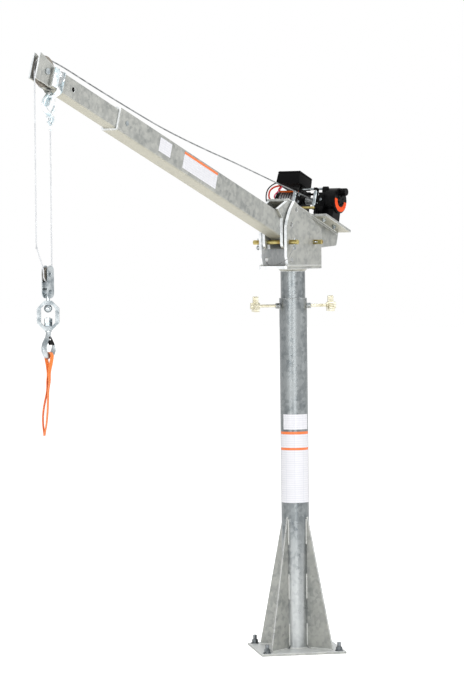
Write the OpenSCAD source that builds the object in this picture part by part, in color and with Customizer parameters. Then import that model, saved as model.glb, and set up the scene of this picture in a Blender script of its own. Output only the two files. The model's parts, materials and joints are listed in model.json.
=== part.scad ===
// Jib crane: square base, turning mast, pinned luffing boom, sliding inner boom, electric winch and load block.
// The mast axis is Z, the boom lies above +X and the underside of the base plate is at Z = 0.

/* [Base] */
// Side of the square base plate
plate_side = 350; // [340:2:400]
// Thickness of the base plate
plate_t = 10; // [8:1:16]
// Turn of the base about the mast, from the boom
base_turn = 41.6; // [0:0.1:90]
// Distance between neighbouring anchor bolts
bolt_spacing = 298; // [290:1:308]
// Diameter of the anchor bolts
bolt_d = 16; // [12:1:18]
// Height of an anchor bolt above the base plate
bolt_stand = 35; // [32:1:45]
// Diameter of the anchor bolt washers
washer_d = 34; // [34:1:38]
// Reach of a gusset from the mast axis along the plate
gusset_reach = 180; // [140:2:184]
// Height of the gussets above the base plate
gusset_h = 535; // [300:5:700]
// Thickness of the gussets
gusset_t = 6; // [5:1:10]
// Cut corner of a gusset beside the weld
gusset_snipe = 10; // [6:1:16]

/* [Mast] */
// Outer diameter of the lower mast
mast_d = 114.3; // [110:0.1:118]
// Wall of the lower mast
mast_wall = 6.02; // [5:0.01:7]
// Running gap between the lower and the upper mast
slew_gap = 0.33; // [0.3:0.01:0.5]
// Wall of the upper mast
upper_wall = 5.7; // [4:0.1:8]
// Height of the lower mast's top edge
mast_top = 1450; // [1440:1:1500]
// Length of the upper mast inside the lower one
mast_insert = 450; // [300:5:800]
// Height of the head plate's underside
head_z = 1570; // [1560:1:1572]
// Height of the lock screws
screw_z = 1418; // [1405:1:1424]
// Diameter of the lock screws
screw_d = 12.5; // [10:0.1:13]
// Reach of a lock screw from the mast axis
screw_reach = 178; // [165:1:200]
// Radius of the star handle
star_r = 40; // [34:1:46]
// Width of the star handle along its screw
star_t = 22; // [16:1:26]

/* [Head] */
// Thickness of the head plate
head_t = 12.7; // [10:0.1:14]
// Front edge of the head plate and the cheeks
head_front = 154; // [150:1:158]
// Rear edge of the cheeks
head_rear = 122; // [114:1:123]
// Thickness of each cheek
cheek_t = 12; // [8:1:16]
// Gap between a cheek and the boom's root
side_gap = 6; // [5:0.5:8]
// Height of the cheeks at their rear edge above the pivot
cheek_rear_h = 54; // [45:1:60]
// Slope of the cheeks' top edge
cheek_slope = 28.5; // [24:0.5:30]
// Radius of the cheeks' front arc about the pivot
cheek_r = 225; // [218:1:232]
// Distance of the pivot behind the mast axis
pivot_back = 63; // [58:1:68]
// Height of the pivot
pivot_z = 1680; // [1678:1:1690]
// Diameter of the pivot pin and the lock pin
pin_d = 19; // [16:0.5:20]
// Length of each pin
pin_len = 212; // [190:1:230]
// Distance of the lock holes from the pivot
lock_r = 192; // [188:1:195]
// Angle between neighbouring lock holes
lock_step = 22; // [20:0.5:23]

/* [Boom] */
// Elevation of the boom as pinned
boom_angle = 18.9; // [16:0.1:20]
// Height of the outer boom tube
outer_h = 93; // [90:1:96]
// Width of the outer boom tube
outer_w = 73; // [70:1:76]
// Wall of the outer boom tube
outer_wall = 8; // [6:0.5:9]
// Distance from the pivot to the outer boom's front end
outer_end = 1433; // [1380:1:1438]
// Distance from the pivot to the outer boom's rear end
outer_start = 60; // [40:1:80]
// Sliding gap between the boom tubes
slide_gap = 0.5; // [0.3:0.1:0.8]
// Wall of the inner boom tube
inner_wall = 5; // [4:0.5:7]
// Rear end of the inner boom
inner_start = 640; // [600:5:760]
// Front end of the inner boom
inner_end = 1855; // [1850:1:1860]
// Distance between the pin holes of the inner boom
hole_pitch = 345; // [300:5:345]
// Distance from the pivot to the extension pin
ext_pin_l = 1380; // [1340:1:1390]
// Diameter of the extension holes
ext_hole_d = 19; // [14:0.5:22]
// Thickness of each root plate
root_t = 12; // [8:1:14]
// Edge distance around the lock hole in the root plates
root_ear = 28; // [26:1:30]
// Rear edge of the root plates behind the pivot
root_rear = 206; // [190:1:215]
// Height of the root web's underside above the boom axis
web_o = 100; // [96:1:104]
// Thickness of the root web and the winch plate
web_t = 10; // [8:1:12]
// Width of the winch plate
winch_plate_w = 220; // [200:2:240]

/* [Winch] */
// Place of the winch axis along the boom
winch_l = -69; // [-74:1:-64]
// Height of the winch axis above the boom axis
winch_o = 204; // [200:1:210]
// Radius of the gearbox
gear_r = 53; // [48:1:58]
// Near end of the gearbox
gear_end = 119; // [110:1:130]
// Radius over the motor's ribs
motor_r = 42; // [38:1:45]
// Far end of the motor
motor_end = 180; // [165:1:200]
// Inner face of the near drum support
drum_near = 48; // [44:1:52]
// Inner face of the far drum support
drum_far = 54; // [48:1:58]
// Thickness of the near drum support
near_t = 22; // [16:1:26]
// Thickness of the far drum support
far_t = 12; // [8:1:16]
// Radius over the rope wound on the drum
wound_r = 15; // [14:0.5:18]
// Radius of the drum's flanges
flange_r = 42; // [34:1:46]
// Offset of the rope on the drum from the boom's middle
rope_y = 25; // [0:1:30]
// Radius of the rope guide's posts
post_r = 9; // [6:0.5:11]
// Radius of the clutch knob
knob_r = 16; // [12:1:18]
// Underside of the control box above the boom axis
box_o = 256; // [252:1:262]
// Height of the control box
box_h = 55; // [45:1:65]

/* [Tip and load] */
// Diameter of the wire rope
rope_d = 5.5; // [4:0.1:6]
// Place of the tip sheave along the boom
tip_l = 1880; // [1876:1:1890]
// Height of the tip sheave above the boom axis
tip_o = 10; // [8:1:12]
// Radius of the tip sheave's rim
tip_r = 57; // [56:0.5:60]
// Radius of the tip sheave's groove
tip_groove_r = 52; // [50:0.5:53]
// Gap between the tip plates
tip_gap = 20; // [18:1:24]
// Thickness of each tip plate
tip_t = 6; // [4:1:8]
// Place of the hanging bar along the boom
bail_l = 1816.5; // [1812:0.5:1820]
// Depth of the hanging bar below the boom axis
bail_o = 61; // [58:1:66]
// Diameter of the hanging bar
bail_d = 12; // [10:0.5:13]
// Height of the block sheave's axle
block_z = 1568; // [1540:1:1600]
// Radius of the block sheave's groove
block_groove_r = 22; // [20:0.5:24]
// Width of the block's side plates
block_w = 39; // [34:1:44]
// Thickness over the block's side plates
block_t = 26; // [22:1:30]
// Distance between the block's two bolts
block_pitch = 61; // [58:1:66]
// Width of the swivel frame
swivel_w = 80; // [72:1:90]
// Height of the swivel frame
swivel_h = 107; // [96:1:120]
// Bar thickness of the swivel frame
swivel_bar = 16; // [12:1:18]
// Turn of the swivel frame, from the boom
swivel_turn = 121; // [0:1:360]
// Turn of the hook in the swivel frame
hook_turn = 50; // [0:1:360]
// Length of the pull strap
strap_len = 290; // [200:5:400]
// Width of the pull strap
strap_w = 25; // [18:1:30]

/* [Hidden] */
$fn = 64;

fit = 0.05;            // radial clearance of a pin in its bore
skin = 0.3;            // gap between curved faces of two bodies
eps = 1;               // how far a cut runs past a face

mast_r = mast_d / 2;
mast_bore_r = mast_r - mast_wall;
upper_r = mast_bore_r - slew_gap;
seat_z = mast_top - mast_insert;
screw_r = screw_d / 2;

pin_r = pin_d / 2;
pivot_x = -pivot_back;
root_in = outer_w / 2;
root_out = root_in + root_t;
cheek_in = root_out + side_gap;
cheek_out = cheek_in + cheek_t;
head_top = head_z + head_t;

inner_w = outer_w - 2 * outer_wall - 2 * slide_gap;
inner_h = outer_h - 2 * outer_wall - 2 * slide_gap;
plate_o = web_o + web_t;
bed_o = plate_o + web_t;
drum_rope_r = wound_r + rope_d / 2 + skin;
axle_r = 8;

tip_rope_r = tip_groove_r + rope_d / 2 + skin;
fork_out = tip_gap / 2 + tip_t;
bail_r = bail_d / 2;
block_rope_r = block_groove_r + rope_d / 2 + skin;
block_bolt_r = 5;
block_in = block_t / 2 - 3;
stem_r = 7;
nut_h = 27;

// Point of the boom's own frame, in the part's frame
function boom_pt(l, o) = [pivot_x + l * cos(boom_angle) - o * sin(boom_angle),
                          pivot_z + l * sin(boom_angle) + o * cos(boom_angle)];
// Point given level with the lock holes, in the boom's own frame
function level_pt(u, v) = [u * cos(boom_angle) + v * sin(boom_angle),
                           v * cos(boom_angle) - u * sin(boom_angle)];
function arc(c, r, a0, a1, n) = [for (i = [0:n]) let (a = a0 + (a1 - a0) * i / n)
    [c[0] + r * cos(a), c[1] + r * sin(a)]];
function turn_of(a, b) = atan2(b[1] - a[1], b[0] - a[0]);
// Angle at which a line from point p touches a circle
function touch(c, r, p, side) = turn_of(c, p) + side * acos(r / norm(p - c));
// Smooth step from 0 to 1
function ease(t) = (1 - cos(180 * t)) / 2;

bail_at = boom_pt(bail_l, -bail_o);
tip_at = boom_pt(tip_l, tip_o);
block_x = bail_at[0] + block_rope_r;
eye_z = block_z - block_pitch;
swivel_top = eye_z - 32;
swivel_bottom = swivel_top - swivel_h;

module at_boom() translate([pivot_x, 0, pivot_z]) rotate([0, -boom_angle, 0]) children();
module at_base() rotate([0, 0, base_turn]) children();
module at_frame() translate([block_x, 0, 0]) rotate([0, 0, swivel_turn]) children();
module at_hook() at_frame() rotate([0, 0, hook_turn]) children();
module at_winch() at_boom() translate([winch_l, 0, winch_o]) children();

module box(low, high) translate(low) cube(high - low);
module rod_y(r, y0, y1) translate([0, y0, 0]) rotate([-90, 0, 0]) cylinder(r = r, h = y1 - y0);
// Flat outline in X and Z, made solid from y0 to y1
module slab(y0, y1) translate([0, y1, 0]) rotate([90, 0, 0]) linear_extrude(y1 - y0) children();
// Flat outline in Y and Z, made solid from x0 to x1
module beam(x0, x1) translate([x0, 0, 0]) rotate([90, 0, 90]) linear_extrude(x1 - x0) children();
module hexagon(r, h) cylinder(r = r, h = h, $fn = 6);

module rounded(w, h, r) {
    square([w - 2 * r, h], center = true);
    square([w, h - 2 * r], center = true);
    for (x = [-1, 1], y = [-1, 1]) translate([x * (w / 2 - r), y * (h / 2 - r)]) circle(r);
}
module tube_2d(w, h, wall, r) difference() {
    rounded(w, h, r);
    rounded(w - 2 * wall, h - 2 * wall, max(r - wall, 1));
}

// Bar swept along points [x, z, y], where y may be left out, with its half sizes up and across
module sweep(pts, rad, sides) {
    n = len(pts);
    heading = [for (i = [0:n - 1]) turn_of(pts[max(i - 1, 0)], pts[min(i + 1, n - 1)])];
    v = [for (i = [0:n - 1]) for (k = [0:sides - 1])
        let (t = 360 * k / sides, p = rad[i][0] * cos(t), q = rad[i][1] * sin(t))
        [pts[i][0] - p * sin(heading[i]), q + (len(pts[i]) > 2 ? pts[i][2] : 0), pts[i][1] + p * cos(heading[i])]];
    walls = [for (i = [0:n - 2]) for (k = [0:sides - 1])
        let (a = i * sides + k, b = i * sides + (k + 1) % sides)
        each [[a, b, b + sides], [a, b + sides, a + sides]]];
    ends = [[for (k = [0:sides - 1]) sides - 1 - k], [for (k = [0:sides - 1]) (n - 1) * sides + k]];
    polyhedron(v, concat(walls, ends));
}
module rope(pts) sweep(pts, [for (p = pts) [rope_d / 2, rope_d / 2]], 8);

// ---- Base and lower mast ----

bolt_places = [for (x = [-1, 1], y = [-1, 1]) [x * bolt_spacing / 2, y * bolt_spacing / 2]];

module base_plate() color("silver") at_base() difference() {
    translate([0, 0, plate_t / 2]) cube([plate_side, plate_side, plate_t], center = true);
    for (p = bolt_places) translate([p[0], p[1], -eps]) cylinder(d = bolt_d + 1.5, h = plate_t + 2 * eps);
}

module gussets() color("silver") at_base() for (a = [45:90:315]) rotate([0, 0, a])
    slab(-gusset_t / 2, gusset_t / 2) polygon([
        [mast_r + gusset_snipe, plate_t], [gusset_reach, plate_t], [gusset_reach, plate_t + 8],
        [mast_r + 5, plate_t + gusset_h], [mast_r, plate_t + gusset_h], [mast_r, plate_t + gusset_snipe]]);

module lower_mast() color("silver") {
    difference() {
        union() {
            translate([0, 0, plate_t]) cylinder(r = mast_r, h = mast_top - plate_t);
            at_base() for (s = [-1, 1]) translate([0, s * (mast_r - 2), screw_z]) rotate([-s * 90, 0, 0])
                hexagon(13, 18);
        }
        translate([0, 0, plate_t - eps]) cylinder(r = mast_bore_r, h = seat_z - plate_t - 10 + eps);
        translate([0, 0, seat_z]) cylinder(r = mast_bore_r, h = mast_insert + eps);
        cylinder(r = mast_bore_r - 20, h = mast_top);
        at_base() translate([0, 0, screw_z]) rod_y(screw_r + fit, -mast_r - 20, mast_r + 20);
    }
}

module anchor_bolts() color("gray") at_base() for (p = bolt_places) translate([p[0], p[1], 0]) {
    translate([0, 0, 1]) cylinder(d = bolt_d, h = plate_t + bolt_stand - 1);
    translate([0, 0, plate_t]) cylinder(d = washer_d, h = 3);
    translate([0, 0, plate_t + 3]) hexagon(bolt_d * 0.87, bolt_d * 0.82);
}

// Screw that lies along +Y and presses on the upper mast, with a three-armed handle
module lock_screw() color("khaki") translate([0, 0, screw_z]) {
    rod_y(screw_r, upper_r + skin, screw_reach - 20);
    rod_y(13.5, screw_reach - 38, screw_reach);
    slab(screw_reach - 10 - star_t, screw_reach - 10) {
        circle(17);
        for (a = [90, 210, 330]) rotate(a) {
            polygon([[0, -12], [star_r - 9, -8], [star_r - 9, 8], [0, 12]]);
            translate([star_r - 9, 0]) circle(9);
        }
    }
}
module lock_screw_left() at_base() rotate([0, 0, 180]) lock_screw();
module lock_screw_right() at_base() lock_screw();

// ---- Upper mast and head ----

module upper_mast() color("silver") difference() {
    union() {
        translate([0, 0, seat_z + skin]) cylinder(r = upper_r, h = head_z - seat_z - skin);
        translate([0, 0, head_z - 10]) cylinder(r1 = upper_r, r2 = upper_r + 10, h = 10);
    }
    translate([0, 0, seat_z - eps]) cylinder(r = upper_r - upper_wall, h = head_z - seat_z + 2 * eps);
}

module head_plate() color("silver")
    box([-head_rear, -cheek_out, head_z], [head_front, cheek_out, head_top]);

module cheek_2d() {
    rise = tan(cheek_slope) * (head_front + head_rear);
    rear_z = pivot_z + cheek_rear_h;
    difference() {
        intersection() {
            polygon([[-head_rear, head_top], [head_front, head_top],
                     [head_front, rear_z + rise], [-head_rear, rear_z]]);
            translate([pivot_x, pivot_z]) circle(cheek_r, $fn = 128);
        }
        translate([pivot_x, pivot_z]) circle(pin_r + fit);
        for (k = [-1:2]) translate([pivot_x, pivot_z]) rotate(k * lock_step)
            translate([lock_r, 0]) circle(pin_r + (k == 0 ? fit : skin));
    }
}
module near_cheek() color("silver") slab(cheek_in, cheek_out) cheek_2d();
module far_cheek() color("silver") slab(-cheek_out, -cheek_in) cheek_2d();

module pin_body() {
    rod_y(pin_r, -pin_len / 2, pin_len / 2 - 2);
    translate([0, pin_len / 2 - 2, 0]) rotate([-90, 0, 0]) cylinder(r1 = pin_r, r2 = pin_r - 2, h = 2);
}
clip_y = cheek_out + 21;                            // where a clip crosses its pin
clip_r = 2;
module clip_bore() rotate([0, 90, 0]) cylinder(r = clip_r + fit, h = 30, center = true);
module pivot_pin() color("khaki") translate([pivot_x, 0, pivot_z]) difference() {
    pin_body();
    for (y = [-clip_y, clip_y]) translate([0, y, 0]) clip_bore();
}
module lock_pin() color("khaki") translate([pivot_x + lock_r, 0, pivot_z]) difference() {
    pin_body();
    for (y = [-clip_y, clip_y]) translate([0, y, 0]) rotate([0, 90, 0]) clip_bore();
}
// Straight leg along X through the pin, with a ring at its end
module clip() {
    translate([-16, 0, 0]) rotate([0, 90, 0]) cylinder(r = clip_r, h = 32);
    translate([23, 0, 0]) difference() {
        cylinder(r = 9, h = 1.7 * clip_r, center = true);
        cylinder(r = 5.5, h = 4 * clip_r, center = true);
    }
}
module pin_clips() color("gainsboro") for (y = [-clip_y, clip_y]) {
    translate([pivot_x, y, pivot_z]) clip();
    translate([pivot_x + lock_r, y, pivot_z]) rotate([90, 90, 0]) clip();
}

// ---- Outer boom and its root ----

module outer_boom() color("lightgray") at_boom() difference() {
    beam(outer_start, outer_end) tube_2d(outer_w, outer_h, outer_wall, 9);
    translate([ext_pin_l, 0, 0]) rod_y(ext_hole_d / 2, 0, outer_w);
}

heel_v = 19;                                        // depth of the root plates' heel below the pivot
heel = level_pt(-root_rear, -heel_v);
keel = level_pt(-20, -root_ear);
heel_slope = turn_of([-root_rear, heel[1]], keel);
nose_l = 284;                                       // where the nose of the root meets the tube
nose_run = 58;                                      // how far the nose leans back up to the web

module root_2d() difference() {
    polygon(concat(
        [for (p = arc([lock_r + root_ear - 24, 24 - root_ear], 24, -90, 0, 8)) level_pt(p[0], p[1])],
        [level_pt(lock_r + root_ear, 99), [nose_l, outer_h / 2], [nose_l - nose_run, web_o], [-root_rear, web_o]],
        arc([14 - root_rear, heel[1] + 14], 14, 180, 270 + heel_slope, 5), [keel]));
    circle(pin_r + fit);
    rotate(-boom_angle) {
        translate([lock_r, 0]) circle(pin_r + 0.5);
        difference() {
            intersection() {
                circle(lock_r + pin_r + 0.5, $fn = 128);
                polygon([[0, 0], [lock_r * 1.3, 0], [lock_r * 1.3, -lock_r * 0.6]]);
            }
            circle(lock_r - pin_r - 0.5, $fn = 128);
        }
    }
}
module near_root_plate() color("silver") at_boom() slab(root_in, root_out) root_2d();
module far_root_plate() color("silver") at_boom() slab(-root_out, -root_in) root_2d();

module root_web() color("silver") at_boom() box([-root_rear, -root_out, web_o], [nose_l - nose_run, root_out, plate_o]);

winch_plate_rear = root_rear - 4;
winch_plate_front = 8;
foot_bolts = [for (l = [-113, -25], s = [-1, 1]) [l, s * (winch_plate_w / 2 - 30)]];

module winch_plate() color("silver") at_boom() difference() {
    box([-winch_plate_rear, -winch_plate_w / 2, plate_o], [winch_plate_front, winch_plate_w / 2, bed_o]);
    for (p = foot_bolts) translate([p[0], p[1], plate_o - eps]) cylinder(r = 5.5, h = web_t + 2 * eps);
}
module winch_bolts() color("gainsboro") at_boom() for (p = foot_bolts) translate([p[0], p[1], 0]) {
    translate([0, 0, plate_o - 14]) cylinder(r = 5, h = web_t + 14);
    translate([0, 0, plate_o - 8]) hexagon(9.8, 8);
    translate([0, 0, bed_o]) hexagon(9.8, 4);
}

// ---- Winch ----

foot_l = 56;                                        // half length of the drum supports' feet
lug_r = 10;                                         // radius of the lugs round the tie rods
lug_l = [-30, 34];
lug_o = box_o - winch_o - skin - lug_r;             // the control box rests on the far support's lugs
// Casting round the drum shaft that stands on the winch plate
module support_2d() difference() {
    union() {
        circle(44);
        polygon([[-foot_l, bed_o - winch_o], [foot_l, bed_o - winch_o], [foot_l, bed_o - winch_o + 12],
                 [43, -20], [40, 20], [-40, 20], [-43, -20], [-foot_l, bed_o - winch_o + 12]]);
        for (l = lug_l) translate([l, lug_o]) circle(lug_r);
        polygon([[lug_l[0] - lug_r, lug_o], [-38, 10], [38, 10], [lug_l[1] + lug_r, lug_o]]);
    }
    circle(axle_r + fit);
}
module winch_frames() color("dimgray") at_winch() {
    slab(drum_near, drum_near + near_t) support_2d();
    slab(-drum_far - far_t, -drum_far) support_2d();
}
module winch_drum() color("gray") at_winch() {
    rod_y(axle_r, -drum_far - far_t + skin, drum_near + near_t - skin);
    rod_y(wound_r, 0.5 - drum_far, drum_near - 0.5);
    rod_y(flange_r, 0.5 - drum_far, 3.5 - drum_far);
    rod_y(flange_r, drum_near - 3.5, drum_near - 0.5);
}
guide_l = 89;                                       // how far the rope guide stands before the winch axis
guide_low = bed_o - winch_o + 18;
guide_y = [1 - drum_far, drum_near - 1];
// Two rods that tie the supports, and the rope guide's posts on their bar
module winch_tie_rods() color("gainsboro") at_winch() {
    for (l = lug_l) translate([l, 0, lug_o]) rod_y(5, -drum_far, drum_near);
    for (y = guide_y) translate([guide_l, y, guide_low]) cylinder(r = post_r, h = 95);
    box([guide_l - 8, guide_y[0] - post_r, guide_low], [guide_l + 8, guide_y[1] + post_r, guide_low + 9]);
    for (y = [[drum_near, drum_near + post_r - 1], [1 - drum_far - post_r, -drum_far]])
        box([foot_l, y[0], guide_low - 18], [guide_l - 8, y[1], guide_low + 9]);
}
motor_base = drum_far + far_t;
rib_count = 8;
cap_t = 15;                                         // depth of the motor's end cap
rib_pitch = (motor_end - motor_base - cap_t - 2) / rib_count;
module winch_motor() color("slategray") at_winch() rotate([90, 0, 0]) {
    translate([0, 0, motor_base]) cylinder(r = motor_r - 6, h = motor_end - motor_base);
    for (i = [0:rib_count - 1]) translate([0, 0, motor_base + i * rib_pitch])
        cylinder(r = motor_r, h = rib_pitch * 0.55);
    translate([0, 0, motor_end - cap_t]) cylinder(r = motor_r - 1, h = cap_t - 3);
}
gear_start = drum_near + near_t;
module winch_gearbox() color("black") at_winch() {
    rod_y(gear_r, gear_start, gear_end - 4);
    translate([0, gear_end - 4, 0]) rotate([-90, 0, 0]) cylinder(r1 = gear_r, r2 = gear_r - 4, h = 4);
    slab(gear_start, winch_plate_w / 2) polygon([[-30, bed_o - winch_o], [30, bed_o - winch_o],
        [26, -30], [-26, -30]]);
}
// Ribbed clutch knob on the gearbox
module winch_handle() color("dimgray") at_winch() translate([3, 0, gear_r - knob_r]) slab(gear_end, gear_end + 24) {
    circle(knob_r - 1.5);
    for (a = [0:30:330]) rotate(a) translate([knob_r - 2, 0]) circle(2);
}
module control_box() color("black") at_boom() {
    box([-89, box_end, box_o], [0, -45, box_o + box_h]);
}
// Round lead along points [l, o, y] of the boom's frame, which never run along the boom
module lead(pts, r) {
    n = len(pts);
    along = [for (i = [0:n - 1]) pts[min(i + 1, n - 1)] - pts[max(i - 1, 0)]];
    across = [for (d = along) let (c = [0, d[2], -d[1]]) c / norm(c)];
    up = [for (i = [0:n - 1]) let (c = cross(across[i], along[i])) c / norm(c)];
    v = [for (i = [0:n - 1]) for (k = [0:9]) let (t = 36 * k, p = pts[i] + r * (cos(t) * across[i] + sin(t) * up[i]))
        [p[0], p[2], p[1]]];
    walls = [for (i = [0:n - 2]) for (k = [0:9]) let (a = i * 10 + k, b = i * 10 + (k + 1) % 10)
        each [[a, b, b + 10], [a, b + 10, a + 10]]];
    polyhedron(v, concat(walls, [[for (k = [0:9]) 9 - k], [for (k = [0:9]) (n - 1) * 10 + k]]));
}
box_end = -157;                                     // far end of the control box
lead_end = -motor_end - skin;
module winch_leads() color("orangered") at_boom() {
    lead([[-6, 266, box_end - skin], [-6, 266, -162], [-3, 264, -170], [4, 256, -178], [8, 247, -186],
          [10, 237, -193], [10, 225, -198], [9, 210, -200], [9, 190, -197], [8, 170, -188], [6, 150, -172],
          [3, 136, -154], [0, 128, -136], [-4, bed_o + 3.4, -112], [-6, bed_o + 3.2, -92]], 2.6);
    lead([[-58, 203, lead_end], [-58, 203, -186], [-52, 201, -194], [-42, 201, -201], [-33, 205, -206],
          [-26, 213, -208], [-23, 224, -208], [-22, 236, -206], [-23, 246, -200], [-25, 254, -190],
          [-27, 259, -178], [-28, 261, -166], [-28, 261, box_end - skin]], 3.5);
    lead([[-16, box_o - skin, -146], [-16, box_o - 4, -146.5], [-18, 246, -151], [-22, 240, -160],
          [-28, 234, -170], [-33, 229, -180], [-37, 223, -188], [-42, 216, -191], [-46, 210, -187],
          [-46, 209, lead_end]], 2.7);
    lead([[-36, 238, -motor_base - skin], [-36, 238, -90], [-36, 238, -150], [-36, 239, -162], [-38, 244, -171],
          [-42, 253, -174], [-45, 261, -170], [-46, 264, -163], [-46, 264, box_end - skin]], 4);
}
module extension_pin() color("khaki") at_boom() translate([ext_pin_l, 0, 0]) {
    rod_y(ext_hole_d / 2 - 0.5, outer_w / 2 - outer_wall, outer_w / 2 + 2);
}

// ---- Ropes ----

drum_at = [winch_l, winch_o];
rope_way = [[22, 184], [300, 157], [611, 128], [800, 108], [1000, 90], [1186, 79], [1530, 71], [1760, 69]];
tip_sheave_at = [tip_l, tip_o];
drum_touch = touch(drum_at, drum_rope_r, rope_way[0], -1);
tip_touch = touch(tip_sheave_at, tip_rope_r, rope_way[7], -1);

// The rope leaves the drum's underside and runs over the tip sheave
module boom_rope() color("dimgray") at_boom() rope([for (p = concat(
    [drum_at + drum_rope_r * [cos(drum_touch), sin(drum_touch)]],
    rope_way,
    arc(tip_sheave_at, tip_rope_r, tip_touch, -boom_angle, 12)))
    [p[0], p[1], rope_y * max(0, (1760 - p[0]) / 1830)]]);

thimble_z = bail_at[1] - 86;
ferrule_h = 26;
return_top = thimble_z - 12 - ferrule_h;
module return_rope() color("dimgray") rope(concat(
    [[bail_at[0], return_top]],
    arc([block_x, block_z], block_rope_r, 180, 360, 14)));

fall_x = tip_at[0] + tip_rope_r;
slack_h = 120;                                      // height over which the falling rope bends in
module fall_rope() color("dimgray") rope(concat(
    [[fall_x, tip_at[1]]],
    [for (i = [8:-1:0]) [block_x + block_rope_r + (fall_x - block_x - block_rope_r) * ease(i / 8),
                         block_z + slack_h * i / 8]]));

// ---- Inner boom and tip ----

module inner_boom() color("lightgray") at_boom() difference() {
    beam(inner_start, inner_end) tube_2d(inner_w, inner_h, inner_wall, 7);
    for (k = [-1:1]) translate([ext_pin_l + k * hole_pitch, 0, 0]) rod_y(ext_hole_d / 2, -inner_w, inner_w);
    box([tip_l - tip_r - 6, -fork_out, -inner_h], [inner_end + eps, fork_out, inner_h]);
}
horn_o = 61;
fork_l = inner_end + 83;
module tip_2d() difference() {
    polygon([[tip_l - tip_r - 6, -inner_h / 2], [fork_l, -inner_h / 2], [fork_l, horn_o],
             [fork_l - 8, horn_o], [inner_end + 5, inner_h / 2 + 8], [tip_l - tip_r + 14, inner_h / 2],
             [tip_l - tip_r - 6, inner_h / 2]]);
    translate([tip_l, tip_o]) circle(axle_r + fit);
}
module tip_plates() color("silver") at_boom() {
    slab(tip_gap / 2, fork_out) tip_2d();
    slab(-fork_out, -tip_gap / 2) tip_2d();
}
module sheave_pin() color("gainsboro") at_boom() translate([tip_l, 0, tip_o]) {
    rod_y(axle_r, -fork_out, fork_out);
    rod_y(12, fork_out, fork_out + 5);
    rod_y(12, -fork_out - 5, -fork_out);
}
module tip_sheave() color("peru") at_boom() translate([tip_l, 0, tip_o])
    sheave(tip_r, tip_groove_r, axle_r + fit, tip_gap / 2 - 0.5, 7);
module sheave(rim, groove, bore, hub_half, half) rotate([90, 0, 0]) rotate_extrude() polygon([
    [bore, -hub_half], [bore + 8, -hub_half], [bore + 8, -half], [rim, -half], [rim, 1.5 - half],
    [groove + 0.6, -rope_d / 2 - skin], [groove, 0], [groove + 0.6, rope_d / 2 + skin], [rim, half - 1.5], [rim, half],
    [bore + 8, half], [bore + 8, hub_half], [bore, hub_half]]);

strap_out = inner_w / 2 + 4;
module anchor_strap() color("gainsboro") at_boom() {
    band = [bail_l - 29, tip_l - tip_r - 1];
    box([band[0], -strap_out, inner_h / 2], [band[1], strap_out, inner_h / 2 + 4]);
    for (y = [[inner_w / 2, strap_out], [-strap_out, -inner_w / 2]]) slab(y[0], y[1]) {
        polygon([[band[0], inner_h / 2], [band[1], inner_h / 2], [inner_end, inner_h / 2 - 6],
                 [inner_end, -inner_h / 2], [bail_l + bail_r + 5, -bail_o],
                 [bail_l - bail_r - 5, -bail_o], [band[0], -inner_h / 2]]);
        translate([bail_l, -bail_o]) circle(bail_r + 5);
    }
    translate([bail_l, 0, -bail_o]) rod_y(bail_r, -strap_out - 4, strap_out + 4);
}

// ---- Hanging block ----

hook_bar = 6.5;
module anchor_hook() color("gainsboro") translate([bail_at[0], 0, bail_at[1]]) {
    round = bail_r + skin + hook_bar;
    way = concat(arc([0, 0], round, 205, 40, 9), [[18, 0], [22, -14], [20, -30], [11, -46], [2, -58], [0, -70], [0, -80]]);
    sweep(way, [for (i = [0:len(way) - 1]) [i == 0 ? 4 : hook_bar, i == 0 ? 4 : hook_bar + 1]], 12);
    box([-8, -11, -78], [8, 11, -70]);
    for (s = [-1, 1]) box([-8, s > 0 ? 7 : -11, -92], [8, s > 0 ? 11 : -7, -70]);
    translate([0, 0, -86]) rod_y(4, -14, 14);
    translate([0, 0, -92]) rotate([90, 0, 0]) rotate_extrude() translate([10, 0]) circle(rope_d / 2 + 1);
    translate([0, 0, return_top - bail_at[1]]) cylinder(r = 6, h = ferrule_h);
}

module block_plates() color("gainsboro") translate([block_x, 0, 0]) difference() {
    for (s = [-1, 1]) slab(s > 0 ? block_in : -block_t / 2, s > 0 ? block_t / 2 : -block_in) {
        translate([0, eye_z - 4]) circle(block_w / 2);
        translate([0, block_z + 14]) circle(block_w / 2);
        translate([-block_w / 2, eye_z - 4]) square([block_w, block_pitch + 18]);
    }
    for (z = [eye_z, block_z]) translate([0, 0, z]) rod_y(block_bolt_r + fit, -block_t, block_t);
}
module block_bolts() color("gray") translate([block_x, 0, 0]) for (z = [eye_z, block_z]) translate([0, 0, z]) {
    rod_y(block_bolt_r, -block_t / 2 - 6, block_t / 2 + 6);
    translate([0, block_t / 2, 0]) rotate([-90, 0, 0]) hexagon(8.5, 5);
    translate([0, -block_t / 2, 0]) rotate([90, 0, 0]) hexagon(8.5, 5);
}
module block_sheave() color("gray") translate([block_x, 0, block_z])
    sheave(block_groove_r + 5, block_groove_r, block_bolt_r + fit, block_in - skin, 6);

ball_r = 15;
ball_z = swivel_top - swivel_bar - skin - 12;
module swivel_eye() color("gainsboro") translate([block_x, 0, 0]) {
    difference() {
        translate([0, 0, eye_z]) rod_y(13, skin - block_in, block_in - skin);
        translate([0, 0, eye_z]) rod_y(block_bolt_r + skin, -block_t, block_t);
    }
    translate([0, 0, ball_z]) cylinder(r = stem_r, h = eye_z - 11 - ball_z);
    intersection() {
        translate([0, 0, ball_z]) sphere(ball_r);
        translate([-20, -20, ball_z - 20]) cube([40, 40, 32]);
    }
}

// ---- Swivel, hook and strap ----

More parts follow.
